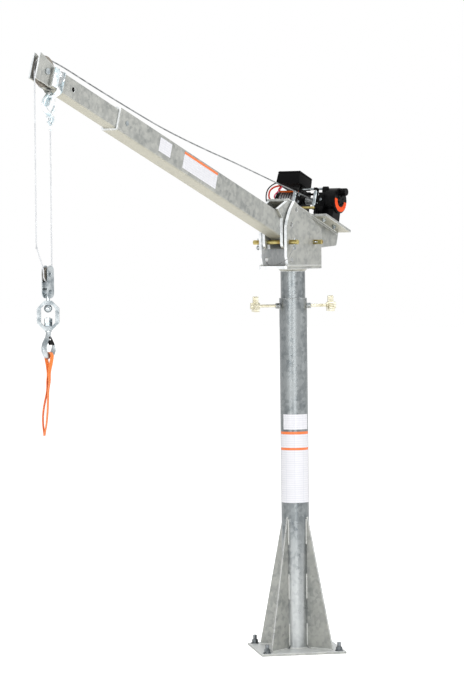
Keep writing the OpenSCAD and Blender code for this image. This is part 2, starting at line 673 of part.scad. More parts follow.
module frame_ring(w, h, cut) polygon([
    [cut - w / 2, -h / 2], [w / 2 - cut, -h / 2], [w / 2, cut - h / 2], [w / 2, h / 2 - cut],
    [w / 2 - cut, h / 2], [cut - w / 2, h / 2], [-w / 2, h / 2 - cut], [-w / 2, cut - h / 2]]);
module swivel_frame() color("gainsboro") at_frame() difference() {
    translate([0, 0, (swivel_top + swivel_bottom) / 2]) slab(-10, 10) difference() {
        frame_ring(swivel_w, swivel_h, 27);
        frame_ring(swivel_w - 1.7 * swivel_bar, swivel_h - 2 * swivel_bar, 12);
    }
    translate([0, 0, swivel_top - swivel_bar - eps]) cylinder(r = stem_r + fit, h = swivel_bar + 2 * eps);
    translate([0, 0, swivel_bottom - eps]) cylinder(r = stem_r + 1 + fit, h = swivel_bar + 2 * eps);
}

// Hook outline: centre line from the shank round the bowl to the tip, with half widths
hook_way = [[0, 2, 9], [0, -10, 9.5], [-3, -22, 10], [-11, -34, 10], [-19, -46, 10], [-23, -59, 10.5],
    [-22, -72, 11], [-15, -84, 11.5], [-3, -91, 11.5], [10, -89, 11], [20, -80, 10], [25, -68, 8.5],
    [26, -57, 6.5], [25, -50, 4.5]];
bowl = [2, -91];
latch_at = [0, -26];
latch_out = 12;                                     // half width over the latch
module load_hook() color("gainsboro") at_hook() translate([0, 0, swivel_bottom]) {
    sweep([for (p = hook_way) [p[0], p[1] - 2]], [for (p = hook_way) [p[2], min(p[2], 9)]], 14);
    translate([0, 0, -6]) cylinder(r = 12, h = 6);
    translate([0, 0, -1]) cylinder(r = stem_r + 1, h = swivel_bar + nut_h + 4);
    translate([0, 0, swivel_bar]) hexagon(15, nut_h);
    translate([latch_at[0], 0, latch_at[1]]) rod_y(2, -latch_out - 1.5, latch_out + 1.5);
}
// Spring latch that closes the hook's mouth from inside
latch_len = 32;
latch_drop = 59;
module hook_latch() color("black") at_hook() translate([latch_at[0], 0, swivel_bottom + latch_at[1]])
    rotate([0, latch_drop, 0]) {
        for (y = [[latch_out - 2.4, latch_out], [-latch_out, 2.4 - latch_out]]) slab(y[0], y[1]) difference() {
            union() {
                circle(4.5);
                translate([0, -1]) square([latch_len, 5]);
            }
            circle(2 + fit);
        }
        box([13, -latch_out, 1.5], [latch_len, latch_out, 4]);
    }

strap_t = 3;
loop_r = 15;
fold = 3;                                           // how much narrower the loop is on each side
// Webbing looped through the hook, folded narrower there, with both its ends hanging together
module pull_strap() color("orangered") at_hook() translate([bowl[0], 0, swivel_bottom + bowl[1]]) rotate([0, 0, 90]) {
    slab(fold - strap_w / 2, strap_w / 2 - fold) difference() {
        union() {
            circle(loop_r + strap_t);
            polygon([[-loop_r - strap_t, 0], [-strap_t - 0.5, -50], [strap_t + 0.5, -50], [loop_r + strap_t, 0]]);
        }
        circle(loop_r);
        polygon([[-loop_r, 0], [-1, -44], [1, -44], [loop_r, 0]]);
    }
    slab(-strap_w / 2, strap_w / 2) translate([-strap_t, -strap_len]) square([2 * strap_t, strap_len - 48]);
}

base_plate();
gussets();
lower_mast();
anchor_bolts();
lock_screw_left();
lock_screw_right();
upper_mast();
head_plate();
near_cheek();
far_cheek();
pivot_pin();
lock_pin();
pin_clips();
outer_boom();
near_root_plate();
far_root_plate();
root_web();
winch_plate();
winch_bolts();
winch_frames();
winch_tie_rods();
winch_motor();
winch_gearbox();
winch_handle();
control_box();
winch_leads();
extension_pin();
boom_rope();
winch_drum();
inner_boom();
tip_plates();
sheave_pin();
anchor_strap();
tip_sheave();
anchor_hook();
return_rope();
fall_rope();
block_plates();
block_bolts();
swivel_eye();
block_sheave();
swivel_frame();
load_hook();
hook_latch();
pull_strap();
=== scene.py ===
import json
import math
import random

import bpy
from bpy.props import FloatProperty, FloatVectorProperty, IntProperty, PointerProperty
from mathutils import Matrix, Vector


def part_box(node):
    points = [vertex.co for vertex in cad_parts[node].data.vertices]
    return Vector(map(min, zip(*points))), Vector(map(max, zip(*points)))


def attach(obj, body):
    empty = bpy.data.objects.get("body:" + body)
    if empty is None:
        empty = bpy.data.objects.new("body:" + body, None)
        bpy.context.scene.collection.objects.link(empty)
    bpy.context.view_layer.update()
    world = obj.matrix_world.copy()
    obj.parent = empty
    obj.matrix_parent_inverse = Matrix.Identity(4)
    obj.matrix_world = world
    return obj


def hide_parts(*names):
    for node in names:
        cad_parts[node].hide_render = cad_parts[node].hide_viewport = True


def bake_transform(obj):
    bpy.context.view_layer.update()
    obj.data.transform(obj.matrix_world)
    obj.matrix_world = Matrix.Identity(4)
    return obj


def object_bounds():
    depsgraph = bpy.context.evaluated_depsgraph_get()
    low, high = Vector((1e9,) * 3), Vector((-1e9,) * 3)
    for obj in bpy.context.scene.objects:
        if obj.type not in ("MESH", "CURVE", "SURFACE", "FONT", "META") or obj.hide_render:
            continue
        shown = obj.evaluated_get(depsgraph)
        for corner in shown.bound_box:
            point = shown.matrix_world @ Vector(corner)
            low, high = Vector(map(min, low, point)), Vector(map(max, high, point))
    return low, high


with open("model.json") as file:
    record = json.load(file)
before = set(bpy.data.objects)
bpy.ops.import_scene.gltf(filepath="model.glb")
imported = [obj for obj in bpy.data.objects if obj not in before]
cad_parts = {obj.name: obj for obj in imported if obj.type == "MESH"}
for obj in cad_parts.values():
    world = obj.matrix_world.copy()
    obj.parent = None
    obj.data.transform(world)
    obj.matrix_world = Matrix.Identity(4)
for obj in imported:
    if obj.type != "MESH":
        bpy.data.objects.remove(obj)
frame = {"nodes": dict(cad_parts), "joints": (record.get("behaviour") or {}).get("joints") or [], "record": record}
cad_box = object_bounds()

bl_info = {
    "name": "Jib crane",
    "version": (1, 0, 0),
    "blender": (4, 5, 0),
    "location": "View3D > Sidebar > Crane",
    "description": "Dresses a galvanised jib crane with ropes, welds, winch trim, labels and finishes",
    "category": "Object",
}

MM = 0.001
MAST_R = 57.15  # Outside of the lower mast
MAST_TO_BASE = 41.6  # Degrees that the base plate is turned about the mast
BOOM_SIDE = 36.5  # Outer boom's faces, across from its axis
# Places in the boom's frame, in millimetres: along the boom from its pivot, across it, above its axis
PLATE_TOP = 120  # Top of the winch plate
DRUM_AXIS = Vector((-69, 0, 204))
TIP_SHEAVE = Vector((1880, 0, 10))
BAIL_PIN = Vector((1816.5, 0, -61))

JOINTS = {j["name"]: j for j in frame["joints"]}
PIVOT = Vector(JOINTS["boom_luff"]["pos_m"])
ALONG = Vector(JOINTS["boom_extend"]["axis"])
# Boom frame: X along the boom from its pivot, Y across, Z above its axis
BOOM = Matrix.Translation(PIVOT) @ Matrix(
    ((ALONG.x, 0, -ALONG.z), (0, 1, 0), (ALONG.z, 0, ALONG.x))).to_4x4()
WINCH = BOOM @ Matrix.Translation(DRUM_AXIS * MM)
BASE = Matrix.Rotation(math.radians(MAST_TO_BASE), 4, "Z")
WORLD = Matrix.Identity(4)


def linear(code):
    """Linear colour of an sRGB hex code."""
    values = [int(code[i:i + 2], 16) / 255 for i in (0, 2, 4)]
    return tuple(c / 12.92 if c <= 0.04045 else ((c + 0.055) / 1.055) ** 2.4 for c in values)


# ---- Sizes and colours a user would change ----

def colour(name, description, code):
    return FloatVectorProperty(name=name, description=description, default=linear(code),
                               subtype="COLOR", min=0, max=1)


def length(name, description, default, **limits):
    return FloatProperty(name=name, description=description, default=default, unit="LENGTH",
                         subtype="DISTANCE", **limits)


class CraneFinish(bpy.types.PropertyGroup):
    zinc_light: colour("Zinc, light", "Light grains of the galvanised plate", "A9AAA5")
    zinc_dark: colour("Zinc, dark", "Dark grains of the galvanised plate", "7F8280")
    pipe_light: colour("Pipe zinc, light", "Light grains of the galvanised pipe", "898D8E")
    pipe_dark: colour("Pipe zinc, dark", "Dark grains of the galvanised pipe", "5A6063")
    yellow_zinc: colour("Yellow zinc", "Yellow passivated pins", "B9AD72")
    pale_zinc: colour("Pale yellow zinc", "Lock screws and their handles", "D6D2BF")
    bright_zinc: colour("Bright zinc", "Plated hooks, blocks and bolts", "B8BEC0")
    black_enamel: colour("Black enamel", "Gearbox and drum supports", "040405")
    webbing: colour("Webbing", "Pull strap", "FF8A3A")
    label_band: colour("Label band", "Band along the top of each label", "EE7A3C")
    mark: colour("Gearbox mark", "Painted arc on the gearbox", "F0552B")


class RopeSizes(bpy.types.PropertyGroup):
    diameter: length("Rope diameter", "Diameter of the wire rope", 5.5 * MM, min=0)
    lay: length("Lay", "Length of one turn of a strand", 36 * MM, min=0)
    strands: IntProperty(name="Strands", description="Strands in the rope", default=6, min=3, max=8)


class WeldSizes(bpy.types.PropertyGroup):
    throat: length("Bead radius", "Radius of a weld bead", 4 * MM, min=0)
    ripple: length("Ripple", "Spacing of the ripples on a bead", 6 * MM, min=0)


class LabelSizes(bpy.types.PropertyGroup):
    mast_low: length("Mast label foot", "Height of the mast label's lower edge", 609 * MM)
    mast_high: length("Mast label top", "Height of the mast label's upper edge", 901 * MM)
    facing: FloatProperty(name="Label facing", description="Direction that the mast labels face",
                          default=math.radians(31.2), unit="ROTATION", subtype="ANGLE")


class StageSizes(bpy.types.PropertyGroup):
    camera_place: FloatVectorProperty(name="Camera", description="Place of the camera",
                                      default=(9.674, 5.859, 1.652), unit="LENGTH", subtype="TRANSLATION")
    lens: FloatProperty(name="Lens", description="Focal length in millimetres", default=93.98, min=1)
    roll: FloatProperty(name="Roll", description="Roll of the camera", default=math.radians(0.6),
                        unit="ROTATION", subtype="ANGLE")
    daylight: FloatProperty(name="Surround light", description="Strength of the even light around the crane",
                            default=0.58, min=0)


# ---- Materials ----

def add(material, kind, inputs=None, **settings):
    """Adds one shader node with its settings and inputs. An input is a value, an output, or a node,
    which gives its first output."""
    tree = material.node_tree
    made = tree.nodes.new("ShaderNode" + kind)
    for key, value in settings.items():
        setattr(made, key, value)
    for key, value in (inputs or {}).items():
        socket = made.inputs[key]
        if isinstance(value, bpy.types.Node):
            value = value.outputs[0]
        if isinstance(value, bpy.types.NodeSocket):
            tree.links.new(value, socket)
        else:
            socket.default_value = (*value, 1) if socket.type == "RGBA" else value
    return made


def emptied(block):
    """A new material or world, ready for its own nodes."""
    block.use_nodes = True
    block.node_tree.nodes.clear()
    return block


def new_finish(name, flat_map=None):
    """An empty material, and what its patterns are laid by: the object's own place, or a flat map in millimetres."""
    material = emptied(bpy.data.materials.new(name))
    if flat_map:
        return material, add(material, "UVMap", uv_map=flat_map)
    return material, add(material, "TexCoord").outputs["Object"]


def surfaced(material, inputs):
    """Ends a finish with its surface, from patterns and from values that are the same all over."""
    surface = add(material, "BsdfPrincipled", inputs)
    add(material, "OutputMaterial", {"Surface": surface})
    return material


def seen_directly(block):
    """1 for what the camera sees straight on, in metal or through glass, and 0 for light on the crane."""
    path = add(block, "LightPath")
    seen = path.outputs["Is Camera Ray"]
    for ray in ("Is Glossy Ray", "Is Transmission Ray"):
        seen = add(block, "Math", {0: seen, 1: path.outputs[ray]}, operation="ADD", use_clamp=True)
    return seen


def stops(ramp, *points):
    """Sets a colour ramp's stops, as (place, colour)."""
    elements = ramp.color_ramp.elements
    while len(elements) > 1:
        elements.remove(elements[-1])
    elements[0].position, elements[0].color = points[0][0], (*points[0][1], 1)
    for place, shade in points[1:]:
        elements.new(place).color = (*shade, 1)
    return ramp


def times(tint, share, more=0.0):
    """A colour brightened or darkened by a share, up to white."""
    return tuple(min(1, c * share + more) for c in tint)


def hot_dip_galvanised(name, light, dark, streaks, metallic=0.6, dullness=0.48, foot=0.0):
    """Hot-dip galvanised steel: zinc crystals 10 to 20 mm across, a cloudy grey bloom and drained runs,
    which give a dull mottled sheen with no clear reflection."""
    material, place = new_finish(name)
    # Crystals about 14 mm across, which is 70 to a metre
    crystals = add(material, "TexVoronoi", {"Vector": place, "Scale": 70.0, "Randomness": 1.0})
    grains = add(material, "SeparateColor", {"Color": crystals.outputs["Color"]})
    # Bloom in clouds about 120 mm across, which is 8 to a metre
    bloom = add(material, "TexNoise", {"Vector": place, "Scale": 8.0, "Detail": 5.0, "Roughness": 0.55})
    # Runs about 26 mm wide, and drawn out along the height
    stretch = add(material, "Mapping", {"Vector": place, "Scale": (38.0, 38.0, streaks)})
    runs = add(material, "TexNoise", {"Vector": stretch, "Scale": 1.0, "Detail": 4.0})
    mottle = add(material, "Math", {0: grains, 1: 0.3}, operation="MULTIPLY")
    for pattern, share in ((bloom, 0.8), (runs, 0.6)):
        mottle = add(material, "Math", {0: pattern, 1: share, 2: mottle}, operation="MULTIPLY_ADD")
    shade = stops(add(material, "ValToRGB", {"Fac": mottle}), (0.5, dark), (1.15, light))
    edge = add(material, "Bevel", {"Radius": 5 * MM}, samples=4)
    flat = add(material, "NewGeometry").outputs["Normal"]
    even = add(material, "VectorMath", {0: edge, 1: flat}, operation="DOT_PRODUCT").outputs["Value"]
    facing = add(material, "SeparateXYZ", {"Vector": flat}).outputs["Z"]
    height = add(material, "SeparateXYZ", {"Vector": place}).outputs["Z"]
    # Coats of another shade, each from none at one measure to its most at another
    for measure, none, full, most, code in (
            (facing, 0.5, 0.95, 0.6, "E4E7E8"),  # Painted top light: whiter on faces that look up
            (facing, -0.35, -0.9, 0.5, "C8C2AA"),  # Painted reflection of a warm floor: warmer on faces that look down
            (height, 0.5, 0.25, foot, "E4E6E4"),  # Paler up to about 500 mm above the foot of a pipe
            (even, 0.99, 0.8, 0.75, "E6E9EA")):  # Bright over about 5 mm of edge: partly a painted edge highlight, partly zinc that drains and is handled there
        if most:
            coat = add(material, "MapRange", {"Value": measure, "From Min": none, "From Max": full,
                                                        "To Max": most})
            shade = add(material, "Mix", {"Factor": coat, 6: shade, 7: linear(code)},
                        data_type="RGBA").outputs[2]
    dull = add(material, "MapRange", {"Value": mottle, "From Min": 0.5, "From Max": 1.1,
                                                "To Min": dullness - 0.1, "To Max": dullness + 0.1})
    # Drained surface, with grains of about 2 mm
    fine = add(material, "TexNoise", {"Vector": place, "Scale": 420.0, "Detail": 3.0})
    relief = add(material, "Math", {0: bloom, 1: 3.0, 2: fine}, operation="MULTIPLY_ADD")
    bump = add(material, "Bump", {"Height": relief, "Normal": edge, "Strength": 0.25, "Distance": 0.8 * MM})
    return surfaced(material, {"Base Color": shade, "Roughness": dull, "Normal": bump, "Metallic": metallic})


def plated_steel(name, tint, second_tint, roughness, grain, metallic=1.0, rounded=True):
    """Zinc-plated steel: bright metal with a thin tinted film and faint machining lines,
    which gives soft highlights that shift a little in colour."""
    material, place = new_finish(name)
    # Tint of the film in patches about 22 mm across
    film = add(material, "TexNoise", {"Vector": place, "Scale": 45.0, "Detail": 3.0})
    tone = stops(add(material, "ValToRGB", {"Fac": film}), (0.38, second_tint), (0.62, tint))
    # Lines 2 to 4 mm apart, coarser than the tool's own so that they show
    lines = add(material, "TexNoise", {"Vector": place, "Scale": grain, "Detail": 2.0})
    dull = add(material, "MapRange", {"Value": lines, "To Min": roughness - 0.07, "To Max": roughness + 0.1})
    relief = {"Height": lines, "Strength": 0.18, "Distance": 0.4 * MM}
    if rounded:
        relief["Normal"] = add(material, "Bevel", {"Radius": 1.2 * MM}, samples=4)
    bump = add(material, "Bump", relief)
    return surfaced(material, {"Base Color": tone, "Roughness": dull, "Normal": bump, "Metallic": metallic})


def enamel(name, tint, roughness, coat):
    """Sprayed enamel on cast iron: a smooth coloured skin with slight orange peel, about 3 mm across,
    and dust that dulls it in patches."""
    material, place = new_finish(name)
    # Dust in patches about 17 mm across
    dust = add(material, "TexNoise", {"Vector": place, "Scale": 60.0, "Detail": 4.0})
    tone = stops(add(material, "ValToRGB", {"Fac": dust}), (0.45, tint), (0.8, times(tint, 1.35, 0.006)))
    dull = add(material, "MapRange", {"Value": dust, "To Min": roughness - 0.08, "To Max": roughness + 0.14})
    peel = add(material, "TexNoise", {"Vector": place, "Scale": 330.0, "Detail": 1.0})
    bump = add(material, "Bump", {"Height": peel, "Strength": 0.15, "Distance": 0.4 * MM})
    return surfaced(material, {"Base Color": tone, "Roughness": dull, "Normal": bump, "Coat Weight": coat,
                               "Coat Roughness": 0.15, "IOR": 1.5, "Specular IOR Level": 0.06})


def cast_metal(name, tint, roughness, grit):
    """Cast metal left as it came from the mould: a sandy surface, which scatters a dull even light."""
    material, place = new_finish(name)
    # Sand of 3 to 5 mm, coarser than the mould's so that it shows
    sand = add(material, "TexNoise", {"Vector": place, "Scale": grit, "Detail": 4.0})
    tone = stops(add(material, "ValToRGB", {"Fac": sand}), (0.3, times(tint, 0.72)), (0.7, tint))
    bump = add(material, "Bump", {"Height": sand, "Strength": 0.3, "Distance": 0.5 * MM})
    return surfaced(material, {"Base Color": tone, "Normal": bump, "Metallic": 0.9, "Roughness": roughness})


def moulded_plastic(name, tint, roughness, grain):
    """Injection-moulded ABS or a rubber cover: one colour through, with a spark-eroded grain,
    which gives a soft grey sheen."""
    material, place = new_finish(name)
    # Grain a little over 1 mm across, coarser than the mould's so that it shows
    leather = add(material, "TexVoronoi", {"Vector": place, "Scale": grain})
    # Dust and handling in patches 40 mm across
    wear = add(material, "TexNoise", {"Vector": place, "Scale": 25.0, "Detail": 3.0})
    tone = stops(add(material, "ValToRGB", {"Fac": wear}), (0.35, times(tint, 0.85)), (0.7, times(tint, 1.12)))
    bump = add(material, "Bump", {"Height": leather, "Strength": 0.2, "Distance": 0.3 * MM})
    return surfaced(material, {"Base Color": tone, "Normal": bump, "Roughness": roughness, "IOR": 1.53,
                               "Specular IOR Level": 0.06})


def woven_webbing(name, tint):
    """Flat polyester webbing, plain woven: ribs across the strap, drawn from its own length and width,
    with a soft sheen on the yarn."""
    material, place = new_finish(name, "strap_mm")
    # Ribs about 1.6 mm apart along the strap and yarns about 1 mm apart across it
    ribs = add(material, "TexWave", {"Vector": place, "Scale": 0.2, "Distortion": 0.4, "Detail": 2.0,
                                               "Detail Scale": 2.0}, wave_type="BANDS", bands_direction="Y")
    yarn = add(material, "TexWave", {"Vector": place, "Scale": 0.33, "Distortion": 0.6},
               wave_type="BANDS", bands_direction="X")
    cloth = add(material, "Math", {0: ribs.outputs["Fac"], 1: yarn.outputs["Fac"]}, operation="MULTIPLY")
    # Soil in patches 20 mm across
    soil = add(material, "TexNoise", {"Vector": place, "Scale": 0.05, "Detail": 4.0})
    used = add(material, "Math", {0: soil, 1: 0.6, 2: cloth}, operation="MULTIPLY_ADD")
    tone = stops(add(material, "ValToRGB", {"Fac": used}), (0.2, times(tint, 0.85)), (0.9, tint))
    bump = add(material, "Bump", {"Height": cloth, "Strength": 0.6, "Distance": 0.4 * MM})
    return surfaced(material, {"Base Color": tone, "Normal": bump, "Roughness": 0.8, "Sheen Weight": 0.3,
                               "Sheen Roughness": 0.4})


def label_vinyl(name, ground, line, row):
    """Printed vinyl film: a smooth white or coloured face with pale ruled boxes and no words,
    which reads as a blank form."""
    material, place = new_finish(name, "label_mm")
    # Rows of the ruled form
    rules = add(material, "TexBrick", {
        "Vector": place, "Scale": 1.0, "Mortar Size": row * 0.07, "Mortar Smooth": 0.2, "Brick Width": row * 4.2,
        "Row Height": row, "Color1": ground, "Color2": times(ground, 0.97), "Mortar": line}, offset=0.0, squash=1.0)
    # Film that lifts a little, in waves 25 mm long
    curl = add(material, "TexNoise", {"Vector": place, "Scale": 0.04, "Detail": 2.0})
    bump = add(material, "Bump", {"Height": curl, "Strength": 0.1, "Distance": 1 * MM})
    return surfaced(material, {"Base Color": rules.outputs["Color"], "Normal": bump, "Roughness": 0.35, "IOR": 1.5})


def finishes(look):
    """Each finish by its plain name, as the function that makes it and that function's values."""
    return {
        # Light and dark grains, runs along the height, and then metal share, dullness and paler foot
        "hot_dip_galvanised_steel": (hot_dip_galvanised, look.zinc_light, look.zinc_dark, 30.0),
        "hot_dip_galvanised_pipe": (hot_dip_galvanised, look.pipe_light, look.pipe_dark, 5.0, 1.0, 0.34, 0.27),
        # Pale zinc laid on forward cut edges as a painted highlight, and on the head's inner faces as painted light
        # over their shade
        "drained_zinc_edge": (hot_dip_galvanised, linear("F1F3F4"), linear("C9CFD2"), 30.0, 0.35, 0.4),
        "galvanised_weld_bead": (hot_dip_galvanised, times(look.zinc_light, 1.12), look.zinc_light, 30.0),
        # Two tints of the film, roughness, grain to a metre, and then metal share and rounding
        "yellow_passivated_zinc": (plated_steel, look.yellow_zinc, linear("8F7A45"), 0.3, 260.0),
        "pale_passivated_zinc": (plated_steel, look.pale_zinc, linear("B9B39A"), 0.34, 260.0),
        "bright_zinc_plating": (plated_steel, look.bright_zinc, linear("868E92"), 0.28, 300.0),
        "polished_zinc_plating": (plated_steel, linear("F4F6F7"), linear("B4C6CC"), 0.26, 60.0, 0.6),
        "dull_anchor_zinc": (plated_steel, linear("7C8083"), linear("4C5052"), 0.45, 300.0),
        "bright_galvanised_wire": (plated_steel, linear("D9DBDD"), linear("CDCFD2"), 0.5, 500.0, 0.1, False),
        "drawn_galvanised_wire": (plated_steel, linear("A3A5A6"), linear("6F7273"), 0.42, 500.0),
        # Colour, roughness and clear coat
        "black_enamel_on_iron": (enamel, look.black_enamel, 0.34, 0.06),
        "orange_marking_enamel": (enamel, look.mark, 0.45, 0.0),
        # Colour, roughness and grit to a metre
        "sand_cast_aluminium": (cast_metal, linear("9C9A9B"), 0.5, 300.0),
        "machined_sheave_iron": (cast_metal, linear("8B857C"), 0.45, 200.0),
        # Colour, roughness and grain to a metre
        "black_moulded_abs": (moulded_plastic, linear("040405"), 0.55, 900.0),
        "red_rubber": (moulded_plastic, linear("D23A22"), 0.45, 700.0),
        "pink_rubber": (moulded_plastic, linear("E0446A"), 0.45, 700.0),
        "black_rubber": (moulded_plastic, linear("161618"), 0.45, 700.0),
        "orange_rubber": (moulded_plastic, linear("C4581E"), 0.45, 700.0),
        "orange_woven_webbing": (woven_webbing, look.webbing),
        # Ground, ruled lines and row height in millimetres
        "white_label_vinyl": (label_vinyl, linear("E7E7EB"), linear("CDCFD8"), 9.0),
        "orange_label_vinyl": (label_vinyl, look.label_band, look.label_band, 40.0),
    }


def finish_of(name):
    """A finish by its plain name, made once."""
    made = bpy.data.materials.get(name)
    if not made:
        maker, *values = finishes(bpy.context.scene.crane_finish)[name]
        made = maker(name, *values)
    return made


# Nodes whose finish differs from the rest of their slot
OWN_FINISH = {
    "lower_mast": "hot_dip_galvanised_pipe", "upper_mast": "hot_dip_galvanised_pipe",
    "lock_screw_left": "pale_passivated_zinc", "lock_screw_right": "pale_passivated_zinc",
    "anchor_bolts": "dull_anchor_zinc", "anchor_strap": "polished_zinc_plating",
    "anchor_hook": "polished_zinc_plating", "extension_pin": "bright_zinc_plating",
}
SLOTS = {
    "galvanised": "hot_dip_galvanised_steel", "yellow_zinc": "yellow_passivated_zinc",
    "bright_zinc": "bright_zinc_plating", "black_enamel": "black_enamel_on_iron",
    "motor_metal": "sand_cast_aluminium", "box_plastic": "black_moulded_abs",
    "wire_rope": "drawn_galvanised_wire", "sheave": "machined_sheave_iron",
    "webbing": "orange_woven_webbing", "lead_rubber": "red_rubber",
}


# ---- Shapes ----

def piece(name, shape, body, slot, place=WORLD, finish=None):
    """A mesh from points in millimetres, set in place and riding on a body. Its finish is its slot's or its own."""
    points, faces = shape
    mesh = bpy.data.meshes.new(name)
    mesh.from_pydata([place @ (Vector(p) * MM) for p in points], [], faces)
    mesh.validate()
    made = bpy.data.objects.new(name, mesh)
    bpy.context.scene.collection.objects.link(made)
    mesh.shade_smooth()
    mesh.set_sharp_from_angle(angle=math.radians(35))
    mesh.materials.append(finish_of(finish or SLOTS[slot]))
    if body:
        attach(made, body)
    return made


def joined(parts):
    """Points and faces of several shapes as one."""
    points, faces = [], []
    for part_points, part_faces in parts:
        start = len(points)
        points += [tuple(p) for p in part_points]
        faces += [tuple(i + start for i in f) for f in part_faces]
    return points, faces


def moved(shape, matrix):
    """A shape turned and moved by a matrix in millimetres."""
    return [tuple(matrix @ Vector(p)) for p in shape[0]], shape[1]


def at(x, y, z, turn=None):
    """Matrix in millimetres that moves to a point, after an optional turn (axis, degrees)."""
    place = Matrix.Translation((x, y, z))
    return place @ Matrix.Rotation(math.radians(turn[1]), 4, turn[0]) if turn else place


def around(radius, degrees):
    """Across and up of a point on a circle."""
    a = math.radians(degrees)
    return radius * math.cos(a), radius * math.sin(a)


def corners(node):
    """Low and high corners of a node's box, in millimetres."""
    return [Vector(c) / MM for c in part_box(node)]


def middle(node):
    """Middle of a node's box along X, in millimetres."""
    low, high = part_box(node)
    return (low[0] + high[0]) / 2 / MM


def skin(count, width, closed=False, split=False, caps=True):
    """Faces over rings of points that follow each other. Closed joins the last ring to the first,
    and split leaves each ring open."""
    total = count * width
    faces = []
    for i in range(count if closed else count - 1):
        for k in range(width - split):
            a, b = i * width + k, i * width + (k + 1) % width
            faces.append((a, b, (b + width) % total, (a + width) % total))
    if caps and not closed:
        faces += [tuple(reversed(range(width))), tuple(range(total - width, total))]
    return faces


def lathe(profile, steps=48, axis="Y"):
    """Shape turned about the Y or Z axis from (radius, along) points; a radius of 0 closes an end."""
    points, faces, rings = [], [], []
    for radius, along in profile:
        count = 1 if radius == 0 else steps
        rings.append(range(len(points), len(points) + count))
        for i in range(count):
            c, s = around(radius, 360 * i / steps)
            points.append((c, s, along) if axis == "Z" else (s, along, c))
    for low, high in zip(rings, rings[1:]):
        for i in range(steps):
            j = (i + 1) % steps
            corner = (low[i % len(low)], low[j % len(low)], high[j % len(high)], high[i % len(high)])
            face = tuple(dict.fromkeys(corner))
            if len(face) > 2:
                faces.append(face)
    return points, faces


def smooth_route(points, step):
    """Even points, about a step apart, on a smooth curve through the points given."""
    points = [Vector(p) for p in points]
    ends = [points[0] * 2 - points[1], *points, points[-1] * 2 - points[-2]]
    fine = []
    for a, b, c, d in zip(ends, ends[1:], ends[2:], ends[3:]):
        count = max(2, round((c - b).length / step))
        for i in range(count):
            t = i / count
            fine.append(0.5 * (2 * b + (c - a) * t + (2 * a - 5 * b + 4 * c - d) * t * t
                               + (3 * b - a - 3 * c + d) * t ** 3))
    return fine + [points[-1]]


def headings(route, closed=False):
    """Unit heading and side at each point of a route, with the side turned as little as possible."""
    count = len(route)
    along = []
    for i in range(count):
        before = route[i - 1] if closed or i else route[0]
        after = route[(i + 1) % count] if closed or i < count - 1 else route[-1]
        along.append((after - before).normalized())
    side = along[0].orthogonal().normalized()
    sides = [side]
    for a, b in zip(along, along[1:]):
        side = a.rotation_difference(b) @ side
        side = (side - b * side.dot(b)).normalized()
        sides.append(side)
    return along, sides


def swept(route, section, closed=False):
    """Shape along a route, where section(i) gives the outline's (across, up) points at point i."""
    route = [Vector(p) for p in route]
    points = []
    for i, (centre, along, side) in enumerate(zip(route, *headings(route, closed))):
        up = along.cross(side)
        points += [tuple(centre + side * a + up * b) for a, b in section(i)]
    return points, skin(len(route), len(section(0)), closed)


def round_bar(route, radius, sides=12, closed=False):
    ring = [around(radius, 360 * k / sides) for k in range(sides)]
    return swept(route, lambda i: ring, closed)


ROUND = [around(1, 22.5 * k) for k in range(16)]
FLAT = [(a * x, b * y) for x, y in ((1, 1), (-1, 1), (-1, -1), (1, -1)) for a, b in ((1, 0.86), (0.6, 1))[::x * y]]


def planar_bar(points, outline):
    """Bar that bends in its own X-Z plane, from (x, z, half thickness in the plane, half width across it)."""
    route = smooth_route(points, 2.5)
    made = []
    for i, spot in enumerate(route):
        before, after = route[max(i - 1, 0)], route[min(i + 1, len(route) - 1)]
        heading = Vector((after[0] - before[0], after[1] - before[1])).normalized()
        made += [(spot[0] + heading[1] * spot[2] * a, spot[3] * b, spot[1] - heading[0] * spot[2] * a)
                 for a, b in outline]
    return made, skin(len(route), len(outline))


def wire_rope(route):
    """Rope of twisted strands along a route in millimetres."""
    size = bpy.context.scene.crane_rope
    radius, lay, strands = size.diameter / MM / 2, size.lay / MM, size.strands
    between = radius * 0.88  # Radius in the grooves between the strands
    route = smooth_route(route, lay / 10)
    travel = [0.0]
    for a, b in zip(route, route[1:]):
        travel.append(travel[-1] + (b - a).length)
    return swept(route, lambda i: [around(radius if k % 2 else between, 360 * travel[i] / lay + 180 * k / strands)
                                   for k in range(2 * strands)])


def weld(route):
    """Rippled weld bead along a route in millimetres."""
    size = bpy.context.scene.crane_weld
    radius, ripple = size.throat / MM, size.ripple / MM
    route = [Vector(p) for p in route]
    fine = []
    for a, b in zip(route, route[1:]):
        count = max(1, round((b - a).length / (ripple / 3)))
        fine += [a.lerp(b, i / count) for i in range(count)]
    fine.append(route[-1])
    chance = random.Random(len(fine))
    swell = [radius * (1 + 0.13 * math.cos(2 * math.pi * i / 3) + chance.uniform(-0.06, 0.06))
             for i in range(len(fine))]
    swell[0] = swell[-1] = radius * 0.45
    return swept(fine, lambda i: [around(swell[i], 45 * k) for k in range(8)])


def soft_box(low, high, edge, taper=0.0):
    """Box with rounded edges, narrower towards its top by the taper on each side."""
    steps = 4
    centre = [(a + b) / 2 for a, b in zip(low, high)]
    half = [(b - a) / 2 for a, b in zip(low, high)]
    quarter = [around(edge, 90 * i / steps) for i in range(steps + 1)]
    levels = [(-half[2] + edge - up, edge - across) for across, up in reversed(quarter)]
    levels += [(-z, inset) for z, inset in reversed(levels)]
    points = []
    for z, inset in levels:
        inset = inset * 0.999 + taper * (z + half[2]) / (2 * half[2])
        for corner, (sx, sy) in enumerate(((1, 1), (-1, 1), (-1, -1), (1, -1))):
            for i in range(steps + 1):
                x, y = around(edge, 90 * corner + 90 * i / steps)
                points.append((centre[0] + sx * (half[0] - inset - edge) + x,
                               centre[1] + sy * (half[1] - inset - edge) + y, centre[2] + z))
    return points, skin(len(levels), 4 * (steps + 1))


